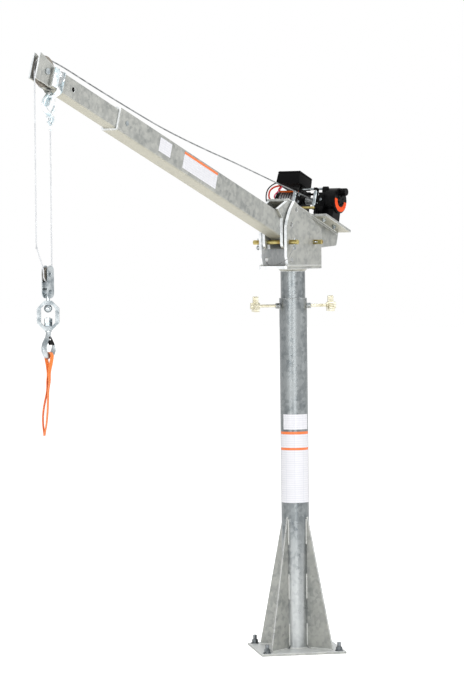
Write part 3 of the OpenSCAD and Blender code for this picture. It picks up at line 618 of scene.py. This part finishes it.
def cap_screw(radius, head, socket_depth=2.2):
    """Socket-head screw that looks along +Y from the origin, with its hexagon socket."""
    steps, bevel, key = 30, 0.6, radius * 0.52
    socket = [key / math.cos((2 * math.pi * i / steps % (math.pi / 3)) - math.pi / 6) for i in range(steps)]
    rings = [([radius] * steps, 0), ([radius] * steps, head - bevel), ([radius - bevel] * steps, head),
             (socket, head), (socket, head - socket_depth)]
    points = [(r[i] * math.sin(2 * math.pi * i / steps), y, r[i] * math.cos(2 * math.pi * i / steps))
              for r, y in rings for i in range(steps)]
    bottom = tuple(range((len(rings) - 1) * steps, len(rings) * steps))
    return points, skin(len(rings), steps, caps=False) + [bottom]


def screws_around(radius, along, degrees, *sizes, turn=None):
    """Cap screws set round the winch's axis."""
    return joined([moved(cap_screw(*sizes), at(x, along, z, turn)) for x, z in (around(radius, a) for a in degrees)])


def lay_map(made, name, sizes):
    """Gives each point of a piece its place on the flat sheet, in millimetres."""
    layer = made.data.uv_layers.new(name=name)
    for loop in made.data.loops:
        layer.data[loop.index].uv = sizes[loop.vertex_index]


def label(name, rows, body, finish, place=WORLD):
    """Thin film from rows of (point, outward direction, place on the flat sheet), in millimetres."""
    thick = 0.35
    spots = [spot for row in rows for spot in row]
    shape = [p + out * thick for p, out, _ in spots], skin(len(rows), len(rows[0]), split=True, caps=False)
    lay_map(piece(name, shape, body, None, place, finish), "label_mm", [sheet for _, _, sheet in spots])


# ---- Pieces ----

class CRANE_OT_finish_frame(bpy.types.Operator):
    """Gives each solid of the crane the finish of its material"""
    bl_idname = "crane.finish_frame"
    bl_label = "Finish the solids"

    def execute(self, context):
        slots = {part["node"]: part["material_slot"] for part in frame["record"]["subparts"]}
        for name, solid in frame["nodes"].items():
            solid.data.materials.clear()
            solid.data.materials.append(finish_of(OWN_FINISH.get(name) or SLOTS[slots[name]]))
        return {"FINISHED"}


class CRANE_OT_cut_edges(bpy.types.Operator):
    """Coats the forward cut edges with pale zinc as a painted highlight, and the sheltered inner faces of the head
    with it as painted light over their shade
    """
    bl_idname = "crane.cut_edges"
    bl_label = "Cut edges"

    def execute(self, context):
        forward, across = Vector((1, 0, 0)), Vector((0, 1, 0))
        coat = 0.12 * MM
        # Node, its body, the way its coated faces look, and the least that their normals share with that
        for node, body, facing, least in (
                ("near_cheek", "head", forward, 0.55), ("far_cheek", "head", forward, 0.55),
                ("near_cheek", "head", -across, 0.95), ("far_cheek", "head", across, 0.95),
                ("head_plate", "head", forward, 0.9), ("near_root_plate", "boom", ALONG, 0.6),
                ("far_root_plate", "boom", ALONG, 0.6), ("outer_boom", "boom", ALONG, 0.95),
                ("tip_plates", "boom_tip", ALONG, 0.8)):
            mesh = frame["nodes"][node].data
            # Of the faces of the outer boom that look along it, the end alone is an edge
            end = max(v.co.dot(facing) for v in mesh.vertices) - 1 * MM if node == "outer_boom" else -math.inf
            points, faces = [], []
            for face in mesh.polygons:
                if face.normal.dot(facing) >= least and face.center.dot(facing) >= end:
                    faces.append(tuple(range(len(points), len(points) + len(face.vertices))))
                    spots = [mesh.vertices[i].co + face.normal * coat for i in face.vertices]
                    # The coat stays inside the whole crane's box
                    points += [Vector(min(c, high) for c, high in zip(spot, cad_box[1])) / MM for spot in spots]
            # Each sheet is pale zinc: a painted highlight on a forward edge, or painted light over the shade of an
            # inner face
            piece(node + ("_inner_face_painted_light" if abs(facing.y) == 1 else "_cut_edge_painted_highlight"), (points, faces), body,
                  "galvanised", finish="drained_zinc_edge")
        return {"FINISHED"}


class CRANE_OT_ropes(bpy.types.Operator):
    """Makes the wire ropes with their strands, from the drum to the tip and on to the block"""
    bl_idname = "crane.ropes"
    bl_label = "Wire ropes"

    def execute(self, context):
        rope_r = context.scene.crane_rope.diameter / MM / 2
        seat = rope_r + 0.3  # From the bottom of a groove to the rope's axis
        tip_r, block_r = 52 + seat, 22 + seat
        # The boom rope leaves the drum to one side, and has come in to the middle where it meets the tip
        aside, inwards, meets = 25, 1830, 1760
        way = [(22, 184), (300, 157), (611, 128), (800, 108), (1000, 90), (1186, 79), (1530, 71), (meets, 69)]
        route = [(-66, aside, 186)] + [(l, aside * max(0, (meets - l) / inwards), o) for l, o in way]
        wrap = [around(tip_r, a) for a in (106, 94, 82, 70, 58, 46, 34, 22, 10, -2, -12, -18.9)]
        route += [TIP_SHEAVE + Vector((x, 0, z)) for x, z in wrap]
        boom = piece("boom_wire_rope", wire_rope(route), None, None, BOOM, "drawn_galvanised_wire")
        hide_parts("boom_rope")
        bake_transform(boom)

        low, high = corners("fall_rope")
        block_x, block_z = middle("block_sheave"), low.z
        foot, top = block_x + block_r, high.x - rope_r
        bend, steps = 120, 8  # Height over which the rope comes in to the block
        route = [(top, 0, high.z), (top, 0, high.z + (block_z - high.z) * 0.4)]
        route += [(foot + (top - foot) * (1 - math.cos(math.pi * i / steps)) / 2, 0, block_z + bend * i / steps)
                  for i in range(steps, -1, -1)]
        fall = piece("falling_wire_rope", wire_rope(route), None, None, finish="bright_galvanised_wire")
        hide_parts("fall_rope")
        # The rope leans over near the sheave alone, so that the rest of it stays plumb at every luff
        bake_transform(fall)

        top = corners("return_rope")[1].z
        route = [(block_x - block_r, 0, top), (block_x - block_r, 0, (top + block_z) / 2)]
        route += [(block_x + x, 0, block_z + z) for x, z in (around(block_r, a) for a in range(180, 361, 12))]
        back = piece("return_wire_rope", wire_rope(route), "load", "wire_rope", finish="bright_galvanised_wire")
        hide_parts("return_rope")
        return {"FINISHED"}


class CRANE_OT_drum(bpy.types.Operator):
    """Makes the winch drum with its flanges, and the rope wound on it"""
    bl_idname = "crane.drum"
    bl_label = "Winch drum"

    def execute(self, context):
        rope_r = context.scene.crane_rope.diameter / MM / 2
        wound_r = 15  # Outside of the rope as it lies on the drum
        core = wound_r - 2 * rope_r
        body = lathe([(0, -65.5), (7.9, -65.5), (7.9, -53.5), (41.2, -53.5), (42, -52.7), (42, -51.3), (41.2, -50.5),
                      (core, -50.5), (core, 44.5), (41.2, 44.5), (42, 45.3), (42, 46.7), (41.2, 47.5), (7.9, 47.5),
                      (7.9, 69.5), (0, 69.5)], 64)
        drum = piece("winch_drum_flanges", body, "drum", "wire_rope", WINCH, "black_enamel_on_iron")
        # The turns lie side by side from flange to flange
        start, width, gap, steps = -50, 94, 0.15, 24
        count = int(width / (2 * rope_r + gap)) * steps
        advance = (width + 0.5) / count * (1 - rope_r / (width / 2))
        centre = wound_r - rope_r
        helix = [(centre * math.sin(2 * math.pi * i / steps), start + rope_r + advance * i,
                  centre * math.cos(2 * math.pi * i / steps)) for i in range(count + 1)]
        wound = piece("rope_wound_on_drum", round_bar(helix, rope_r, 8), "drum", "wire_rope", WINCH)
        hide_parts("winch_drum")
        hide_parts("winch_drum")
        return {"FINISHED"}


class CRANE_OT_leads(bpy.types.Operator):
    """Makes the winch's leads, with their nuts at the motor"""
    bl_idname = "crane.leads"
    bl_label = "Winch leads"

    def execute(self, context):
        # Rubber, radius, and route as (along, above, across)
        leads = {
            "black_supply_lead": ("black_rubber", 2.6, [
                (-6, 266, -157), (-6, 266, -162), (-3, 264, -170), (4, 256, -178), (8, 247, -186), (10, 237, -193),
                (10, 225, -198), (9, 210, -200), (9, 190, -197), (8, 170, -188), (6, 150, -172), (3, 136, -154),
                (0, 128, -136), (-4, 123.4, -112), (-6, 123.2, -92)]),
            "red_motor_lead": ("red_rubber", 3.5, [
                (-58, 203, -180), (-58, 203, -186), (-52, 201, -194), (-42, 201, -201), (-33, 205, -206),
                (-26, 213, -208), (-23, 224, -208), (-22, 236, -206), (-23, 246, -200), (-25, 254, -190),
                (-27, 259, -178), (-28, 261, -166), (-28, 261, -157)]),
            "pink_motor_lead": ("pink_rubber", 2.7, [
                (-16, 256, -146), (-16, 252, -146.5), (-18, 246, -151), (-22, 240, -160), (-28, 234, -170),
                (-33, 229, -180), (-37, 223, -188), (-42, 216, -191), (-46, 210, -187), (-46, 209, -180)]),
            "orange_ground_lead": ("orange_rubber", 4.0, [
                (-36, 238, -66), (-36, 238, -90), (-36, 238, -150), (-36, 239, -162), (-38, 244, -171),
                (-42, 253, -174), (-45, 261, -170), (-46, 264, -163), (-46, 264, -157)]),
        }
        for name, (finish, radius, route) in leads.items():
            route = smooth_route([(l, y, o) for l, o, y in route], 3.0)
            lead = piece(name, round_bar(route, radius, 16), "boom", "lead_rubber", BOOM, finish)
            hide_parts("winch_leads")
        nut = lathe([(0, -186), (3.2, -186), (3.6, -185.6), (3.6, -182), (6.5, -181.8), (6.5, -180), (0, -180)], 24)
        nuts = joined([moved(nut, at(l, 0, o)) for l, o in ((-58, 203), (-46, 209))])
        piece("motor_terminal_nuts", nuts, "boom", "bright_zinc", BOOM)
        return {"FINISHED"}


class CRANE_OT_winch_trim(bpy.types.Operator):
    """Makes the control box, the gearbox mark, the rope guides, the end caps and the cap screws"""
    bl_idname = "crane.winch_trim"
    bl_label = "Winch trim"

    def execute(self, context):
        x0, x1, y0, y1, z0, z1 = -89, 19, -157, -45, 256, 311
        lid, inset, edge, taper, screws_in = z1 - 10, 0.6, 4, 1.5, 8
        box = joined([soft_box((x0, y0, z0), (x1, y1, lid + 1), edge, taper),
                      soft_box((x0 + inset, y0 + inset, lid), (x1 - inset, y1 - inset, z1), edge, taper)])
        cover = piece("control_box_shell", box, "boom", "box_plastic", BOOM)
        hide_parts("control_box")
        screws = [moved(cap_screw(3, 1.2, 0.8), at(x, y, z1 - 0.4, ("X", 90)))
                  for x in (x0 + screws_in, x1 - screws_in) for y in (y0 + screws_in, y1 - screws_in)]
        piece("control_box_screws", joined(screws), "boom", "box_plastic", BOOM, "black_enamel_on_iron")

        # Painted arc of just over half a turn on the gearbox's face, as (radius, along)
        section = (27, 119), (27, 120), (27.8, 120.6), (46.2, 120.6), (47, 120), (47, 119)
        steps = 40
        arc = [(x, y, z) for i in range(steps + 1) for r, y in section for x, z in [around(r, -4 - 183 * i / steps)]]
        piece("gearbox_mark", (arc, skin(steps + 1, len(section), split=True)), "boom", "black_enamel", WINCH,
              "orange_marking_enamel")

        plate = PLATE_TOP - DRUM_AXIS.z
        rod = lathe([(0, -54), (5, -54), (5, 48), (0, 48)], 24)
        back_rod, front_rod = [moved(rod, at(x, 0, 41.7)) for x in (-30, 34)]
        roller = lathe([(0, 0), (4, 0), (4, 5), (7.5, 6), (7.5, 66), (4, 67), (4, 72), (0, 72)], 32, "Z")
        rollers, brackets = [], []
        # Middle of each bracket, and the two sides of its foot
        for y, low, high in ((-53, -61, -54), (47, 48, 55)):
            rollers.append(moved(roller, at(89, y, plate + 28)))
            brackets += [soft_box((76, y - 8, plate + 18), (83, y + 8, plate + 108), 1.5),
                         soft_box((76, y - 8, plate + 100), (97, y + 8, plate + 110), 1.5),
                         soft_box((56, low, plate), (84, high, plate + 28), 1.5)]
        sill = soft_box((84, -61, plate + 18), (97, 55, plate + 27), 2.5)
        for name, shape, slot in (("front_tie_rod", front_rod, "bright_zinc"),
                                  ("rope_guide_rollers", joined(rollers), "bright_zinc"),
                                  ("rope_guide_brackets", joined([*brackets, back_rod]), "black_enamel"),
                                  ("rope_guide_sill", sill, "yellow_zinc")):
            made = piece(name, shape, "boom", slot, WINCH)
            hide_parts("winch_tie_rods")

        cover = lathe([(0, 119), (25.5, 119), (25.5, 121), (24.5, 122), (9, 122), (8, 121), (0, 121)], 48)
        piece("gearbox_end_cover", cover, "boom", "black_enamel", WINCH)
        heads = screws_around(17, 122, range(20, 380, 60), 3.2, 3)
        piece("gearbox_cover_screws", heads, "boom", "black_enamel", WINCH)
        skirt = soft_box((43, 29.5, plate + 14), (48, 70, 22), 1.8)
        piece("drum_support_front", skirt, "boom", "black_enamel", WINCH)
        heads = [moved(cap_screw(5.5, 4), at(48, y, z, ("Z", -90))) for y, z in ((36, 10.5), (52.5, -10), (35.5, -27))]
        heads += [moved(cap_screw(5, 5), at(38.5, -60, z, ("Z", -90))) for z in (14, -16)]
        piece("drum_support_screws", joined(heads), "boom", "bright_zinc", WINCH)

        band = lathe([(41, -163.5), (42, -163.5), (42, -178), (38, -179.5), (20, -179.5), (20, -177), (41, -176)], 64)
        piece("motor_end_cap", band, "boom", "black_enamel", WINCH)
        bolts = screws_around(30, -177, (45, 135, 225, 315), 3.2, 3, turn=("Z", 180))
        piece("motor_cap_bolts", bolts, "boom", "bright_zinc", WINCH)
        return {"FINISHED"}


class CRANE_OT_hanger(bpy.types.Operator):
    """Makes the strap round the boom's tip, its pin, and the hook that hangs on it"""
    bl_idname = "crane.hanger"
    bl_label = "Tip strap and hook"

    def execute(self, context):
        # Strap as (across the boom, above its axis, half thickness, half width along it)
        leg = [(11.5, -94, 1.2, 2), (11.5, -93, 2, 5.5), (11.5, -89, 2.2, 8.8), (11.5, -82, 2.2, 10),
               (11.5, -62, 2.2, 11), (14.5, -54, 2.2, 12), (25, -46, 2.2, 14), (30.2, -38, 2, 16), (30.2, -28, 2, 17),
               (30.2, 0, 2, 17), (30.2, 34, 2, 17), (28.8, 39.4, 2, 17), (22, 40.2, 2, 17)]
        band = leg + [(0, 40.2, 2, 17)] + [(-y, o, t, w) for y, o, t, w in reversed(leg)]
        strap_x = 1808
        turn = Matrix(((0, 1, 0, strap_x), (1, 0, 0, 0), (0, 0, 1, 0), (0, 0, 0, 1)))
        pin = lathe([(0, -19), (8, -19), (9, -18), (9, -14.5), (6, -14.5), (6, 14.5), (9, 14.5), (9, 18), (8, 19),
                     (0, 19)], 32)
        sides = [soft_box((1790, low, -36), (1856, high, 36), 1.6) for low, high in ((-32.262, -28.3), (28.3, 32.262))]
        shape = joined([moved(planar_bar(band, FLAT), turn), moved(pin, Matrix.Translation(BAIL_PIN)), *sides])
        strips = [soft_box((1849, low, -37), (1856.5, high, 37), 1) for low, high in ((-28.8, -16), (16, 28.8))]
        piece("tip_closing_strips", joined(strips), "boom_tip", "galvanised", BOOM)
        strap = piece("anchor_strap_band", shape, "boom_tip", "bright_zinc", BOOM, "polished_zinc_plating")
        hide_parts("anchor_strap")

        # Hook as (out from the pin, above it, half thickness, half width), from its point over the bow to its foot
        bail = BOOM @ (BAIL_PIN * MM)
        path = [(-31, -33, 3.5, 4), (-27, -23, 6.5, 6), (-18, -10, 7.5, 6.4)]
        path += [(*around(12.8, a), 6.3, 6.3) for a in (195, 172, 149, 126, 103, 80, 57)]
        path += [(15, 3, 8, 6.4), (26, -8, 11, 6.5), (36, -22, 13, 7), (36, -37, 13, 7), (26, -51, 11, 7),
                 (12, -61, 10, 8), (2, -67, 10, 9), (0, -73, 10, 10)]
        latch = [(-29, -31, 2.6, 5), (-23, -44, 3, 5.5), (-13, -55, 3.2, 5.5), (-3, -63, 3.2, 5.5)]
        head = soft_box((-11, -12, -79), (11, 12, -70), 2)
        ears = [soft_box((-8, y, -94), (8, y + 4, -72), 1.8) for y in (-11, 7)]
        cross = moved(lathe([(0, -14), (6, -14), (6.5, -13.4), (6.5, -11), (4, -11), (4, 11), (6.5, 11), (6.5, 13.4),
                             (6, 14), (0, 14)], 24), at(0, 0, -86))
        thimble = round_bar([(x, 0, z - 92) for x, z in (around(10, 11.25 * k) for k in range(32))], 3.6, closed=True)
        foot = corners("anchor_hook")[0].z - bail.z / MM
        ferrule = lathe([(0, foot), (5.2, foot), (6, foot + 1), (6, foot + 8), (5.4, foot + 9), (6, foot + 10),
                         (6, foot + 17), (5, foot + 19), (0, foot + 19)], 24, "Z")
        shape = joined([planar_bar(path, ROUND), planar_bar(latch, FLAT), head, *ears, cross, thimble, ferrule])
        hook = piece("anchor_hook_and_thimble", shape, "load", "bright_zinc", Matrix.Translation(bail),
                     "polished_zinc_plating")
        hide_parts("anchor_hook")
        return {"FINISHED"}


class CRANE_OT_welds(bpy.types.Operator):
    """Lays the weld beads at the base, the head and the boom's root"""
    bl_idname = "crane.welds"
    bl_label = "Weld beads"

    def execute(self, context):
        plate = 11  # Beads on the base plate, just over its top
        stitches = (22, 112), (212, 316), (436, 541)  # Heights of the beads between a gusset and the mast
        base = []
        for turn in range(45, 360, 90):
            beads = []
            for y in (-4.2, 4.2):
                beads += [weld([(MAST_R - 0.6, y, low), (MAST_R - 0.6, y, high)]) for low, high in stitches]
                beads.append(weld([(MAST_R + 14, y, plate), (178, y, plate)]))
            beads.append(weld([(MAST_R + 1, -4, 545), (MAST_R + 1.5, 0, 546), (MAST_R + 1, 4, 545)]))
            beads.append(weld([(*around(MAST_R + 0.8, 6 + 78 * i / 14), plate) for i in range(15)]))
            base += [moved(bead, Matrix.Rotation(math.radians(turn), 4, "Z")) for bead in beads]
        # Straight beads on both sides, as (from, to, across, above)
        head_plate = 1583.4
        head = (-118, 150, 66, head_plate), (-118, 150, 55, head_plate)
        root = (70, 232, BOOM_SIDE, 43.5), (-190, 220, 46.5, 110)
        head, root = [[weld([(x0, s * y, z), (x1, s * y, z)]) for s in (-1, 1) for x0, x1, y, z in lines]
                      for lines in (head, root)]
        for name, beads, body, place in (("base_weld_beads", base, "base", BASE),
                                         ("head_weld_beads", head, "head", WORLD),
                                         ("root_weld_beads", root, "boom", BOOM)):
            piece(name, joined(beads), body, "galvanised", place, "galvanised_weld_bead")
        return {"FINISHED"}


class CRANE_OT_labels(bpy.types.Operator):
    """Makes the blank labels on the mast and on the boom"""
    bl_idname = "crane.labels"
    bl_label = "Labels"

    def execute(self, context):
        size = context.scene.crane_label
        facing = math.degrees(size.facing)
        foot, top = size.mast_low / MM, size.mast_high / MM
        white, orange = "white_label_vinyl", "orange_label_vinyl"
        rows, steps = 4, 40
        # Heights, and degrees from the way the labels face
        for name, low, high, finish, first, last in (
                ("mast_label_sheet", foot, top - 76, white, -75, 75),
                ("mast_label_lower_band", top - 76, top - 66, orange, -75, 75),
                ("mast_label_heading", top - 66, top - 11, white, -75, 75),
                ("mast_label_upper_band", top - 11, top, orange, -75, 75),
                ("mast_notice", top + 9, top + 71, white, -51, 68)):
            spots = []
            for z in (low + (high - low) * i / rows for i in range(rows + 1)):
                turns = [first + (last - first) * k / steps for k in range(steps + 1)]
                outs = [Vector((*around(1, facing + a), 0)) for a in turns]
                spots.append([(out * MAST_R + Vector((0, 0, z)), out, (math.radians(a) * MAST_R, z - low))
                              for a, out in zip(turns, outs)])
            label(name, spots, "base", finish)
        # Places along the boom and above its axis
        for name, l0, l1, o0, o1, finish in (("boom_label", 733, 980, -30, 27, white),
                                             ("boom_label_band", 733, 980, 27, 37, orange),
                                             ("boom_badge", 1070, 1153, -24, 31, white)):
            spots = [[(Vector((l, BOOM_SIDE, o)), Vector((0, 1, 0)), (l1 - l, o - o0)) for l in (l1, l0)]
                     for o in (o0, o1)]
            label(name, spots, "boom", finish, BOOM)
        return {"FINISHED"}


class CRANE_OT_lanyards(bpy.types.Operator):
    """Makes the lock pin's wire lanyard and its crimp"""
    bl_idname = "crane.lanyards"
    bl_label = "Pin lanyard"

    def execute(self, context):
        place = Matrix.Translation((PIVOT.x + 192 * MM, 0, PIVOT.z))
        route = [(4, 89, -22), (8, 84, -34), (14, 76, -50), (22, 71, -66), (27, 60, -74), (24, 40, -84), (16, 10, -92),
                 (8, -20, -94.5), (-4, -44, -90), (-10, -51, -80)]
        crimp = moved(lathe([(0, -4), (2.4, -4), (2.4, 4), (0, 4)], 16, "Z"), at(5, 87.5, -27))
        shape = joined([round_bar(smooth_route(route, 3), 1.1, 8), crimp])
        piece("lock_pin_lanyard", shape, "head", "wire_rope", place)
        return {"FINISHED"}


class CRANE_OT_strap(bpy.types.Operator):
    """Makes the woven pull strap that hangs in the hook"""
    bl_idname = "crane.strap"
    bl_label = "Pull strap"

    def execute(self, context):
        low, high = corners("pull_strap")
        place = Matrix.Translation((middle("swivel_frame") * MM, 0, 0)) @ Matrix.Rotation(math.radians(171), 4, "Z")
        top, foot = high.z - 2.2, low.z + 1
        # One tail as (out from the middle, height, half width), from the sewn end up to the hook's bowl
        tail = [(0.9, foot + 2, 8), (1.8, foot + 14, 8.5), (6.5, foot + 45, 9), (8, foot + 85, 9.5),
                (5.5, foot + 125, 10), (2.2, foot + 160, 10), (3.8, foot + 195, 10), (1.6, top - 80, 10),
                (5, top - 58, 9.5), (12, top - 34, 8.5), (15.6, top - 18, 8)]
        bowl = [(15.4 * math.cos(math.radians(a)), top - 18 + 15.6 * math.sin(math.radians(a)), 7.6)
                for a in range(18, 163, 18)]
        fine = smooth_route(tail + bowl + [(-x, z, w) for x, z, w in reversed(tail)], 4)
        thick, crown, steps = 0.7, 0.9, 6
        points, faces, places = [], [], []
        travel = 0.0
        for i, spot in enumerate(fine):
            before, after = fine[max(i - 1, 0)], fine[min(i + 1, len(fine) - 1)]
            head = Vector((after.x - before.x, after.y - before.y)).normalized()
            out = Vector((-head.y, head.x))
            if i:
                travel += (spot.xy - before.xy).length
            # Below the bowl the strap turns, leans and sways a little
            drop = max(0, top - 50 - spot.y)
            turn = 26 * min(1, drop / 70)
            across, apart = [Vector((*around(1, turn + a), 0)) for a in (0, 90)]
            centre = Vector((2 - 0.075 * drop + 2.5 * math.sin(drop / 38) * min(1, drop / 40), 0.035 * drop, spot.y))
            for face in (1, -1):
                for k in range(steps + 1):
                    t = 2 * k / steps - 1
                    lean = out * (thick * face + crown * (1 - t * t))
                    points.append(centre + across * (spot.z * t) + apart * (spot.x + lean.x)
                                  + Vector((0, 0, lean.y)))
                    places.append((spot.z * t, travel))
        second, width = steps + 1, 2 * (steps + 1)
        for a in range(0, (len(fine) - 1) * width, width):
            b = a + width
            for k in range(steps):
                faces.append((a + k, a + k + 1, b + k + 1, b + k))
                faces.append((a + second + k + 1, a + second + k, b + second + k, b + second + k + 1))
            faces.append((a, b, b + second, a + second))
            faces.append((a + steps, a + second + steps, b + second + steps, b + steps))
        for a in (0, (len(fine) - 1) * width):
            faces += [(a + k, a + k + 1, a + second + k + 1, a + second + k) for k in range(steps)]
        strap = piece("pull_strap_webbing", (points, faces), "hook", "webbing", place)
        lay_map(strap, "strap_mm", places)
        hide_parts("pull_strap")
        return {"FINISHED"}


class CRANE_OT_fasteners(bpy.types.Operator):
    """Makes the threads of the anchor bolts"""
    bl_idname = "crane.fasteners"
    bl_label = "Anchor threads"

    def execute(self, context):
        root, crest, pitch, turns, start = 7.0, 8.05, 1.5, 12, 27.0
        thread = [(root, 26.5)]
        for z in (start + pitch * i for i in range(turns)):
            thread += [(crest, z + 0.5), (root, z + 1.0)]
        thread += [(6.4, 44.8), (0, 44.8)]
        shapes = [moved(lathe(thread, 24, "Z"), at(x, y, 0)) for x in (-149, 149) for y in (-149, 149)]
        piece("anchor_bolt_threads", joined(shapes), "base", "bright_zinc", BASE)
        return {"FINISHED"}


class CRANE_OT_stage(bpy.types.Operator):
    """Makes the pale floor, the soft lights and the camera"""
    bl_idname = "crane.stage"
    bl_label = "Stage"

    def execute(self, context):
        scene = context.scene
        size = scene.crane_stage
        reach = 40.0
        floor = bpy.data.meshes.new("studio_floor")
        floor.from_pydata([(-reach, -reach, 0), (reach, -reach, 0), (reach, reach, 0), (-reach, reach, 0)], [],
                          [(0, 1, 2, 3)])
        ground = bpy.data.objects.new("studio_floor", floor)
        scene.collection.objects.link(ground)
        material = emptied(bpy.data.materials.new("matt_white_studio_paper"))
        paper = add(material, "BsdfDiffuse", {"Color": linear("F4F4F4")})
        glow = add(material, "Emission", {"Color": (1, 1, 1), "Strength": 0.62})
        lit = add(material, "AddShader", {0: paper, 1: glow})
        choose = add(material, "MixShader", {0: seen_directly(material), 1: paper, 2: lit})
        add(material, "OutputMaterial", {"Surface": choose})
        floor.materials.append(material)

        scene.world = world = emptied(bpy.data.worlds.new("studio_surround"))
        strength = add(world, "MapRange", {"Value": seen_directly(world), "To Min": size.daylight,
                                                     "To Max": 1.0})
        sky = add(world, "Background", {"Color": (1, 1, 1), "Strength": strength})
        add(world, "OutputWorld", {"Surface": sky})

        # Place, what it aims at, width in metres and power in watts
        for name, place, aim, width, power in (
                ("right_light", (-3.6, 8.6, 4.6), (0.3, 0, 1.2), 3.0, 205),
                ("front_light", (10.0, 0.7, 2.6), (0.6, 0, 1.4), 2.6, 200),
                ("fill_light", (6.4, 5.2, 1.5), (0.0, 0, 1.6), 2.4, 110),
                ("top_light", (1.0, 0.5, 7.0), (0.3, 0, 1.0), 3.0, 190)):
            lamp = bpy.data.lights.new(name, "AREA")
            lamp.shape = "DISK"
            lamp.size = width
            lamp.energy = power
            made = bpy.data.objects.new(name, lamp)
            made.location = place
            made.rotation_euler = (Vector(aim) - Vector(place)).to_track_quat("-Z", "Y").to_euler()
            scene.collection.objects.link(made)

        wide, high = 464, 700  # The frame
        middle_x, middle_y = 292.5, 248.9  # Where the camera's aim falls in it
        lens = bpy.data.cameras.new("studio_camera")
        lens.sensor_fit = "VERTICAL"
        lens.sensor_height = 24
        lens.sensor_width = lens.sensor_height * wide / high
        lens.lens = size.lens
        lens.shift_x = (wide / 2 - middle_x) / high
        lens.shift_y = (middle_y - high / 2) / high
        camera = bpy.data.objects.new("studio_camera", lens)
        place = Vector(size.camera_place)
        aim = Vector((0, 0, place.z))
        camera.matrix_world = (Matrix.Translation(place)
                               @ (aim - place).to_track_quat("-Z", "Y").to_matrix().to_4x4()
                               @ Matrix.Rotation(-size.roll, 4, "Z"))
        scene.collection.objects.link(camera)
        scene.camera = camera
        scene.view_settings.view_transform = "Standard"
        return {"FINISHED"}


class CRANE_PT_panel(bpy.types.Panel):
    bl_idname = "CRANE_PT_panel"
    bl_label = "Jib crane"
    bl_space_type = "VIEW_3D"
    bl_region_type = "UI"
    bl_category = "Crane"

    def draw(self, context):
        column = self.layout.column()
        for group in GROUPS:
            settings = getattr(context.scene, group)
            column.label(text=settings.bl_rna.name)
            for key in settings.__annotations__:
                column.prop(settings, key)
        for operator in OPERATORS:
            column.operator(operator.bl_idname)


GROUPS = {"crane_finish": CraneFinish, "crane_rope": RopeSizes, "crane_weld": WeldSizes,
          "crane_label": LabelSizes, "crane_stage": StageSizes}
OPERATORS = (CRANE_OT_stage, CRANE_OT_finish_frame, CRANE_OT_cut_edges, CRANE_OT_ropes, CRANE_OT_drum, CRANE_OT_leads,
             CRANE_OT_winch_trim, CRANE_OT_hanger, CRANE_OT_welds, CRANE_OT_labels, CRANE_OT_lanyards, CRANE_OT_strap,
             CRANE_OT_fasteners)


def register():
    for kind in (*GROUPS.values(), *OPERATORS, CRANE_PT_panel):
        bpy.utils.register_class(kind)
    for name, kind in GROUPS.items():
        setattr(bpy.types.Scene, name, PointerProperty(type=kind))


def unregister():
    for name in GROUPS:
        delattr(bpy.types.Scene, name)
    for kind in reversed((*GROUPS.values(), *OPERATORS, CRANE_PT_panel)):
        bpy.utils.unregister_class(kind)


def main():
    register()
    for operator in OPERATORS:
        group, call = operator.bl_idname.split(".")
        getattr(getattr(bpy.ops, group), call)()


if __name__ == "__main__":
    main()
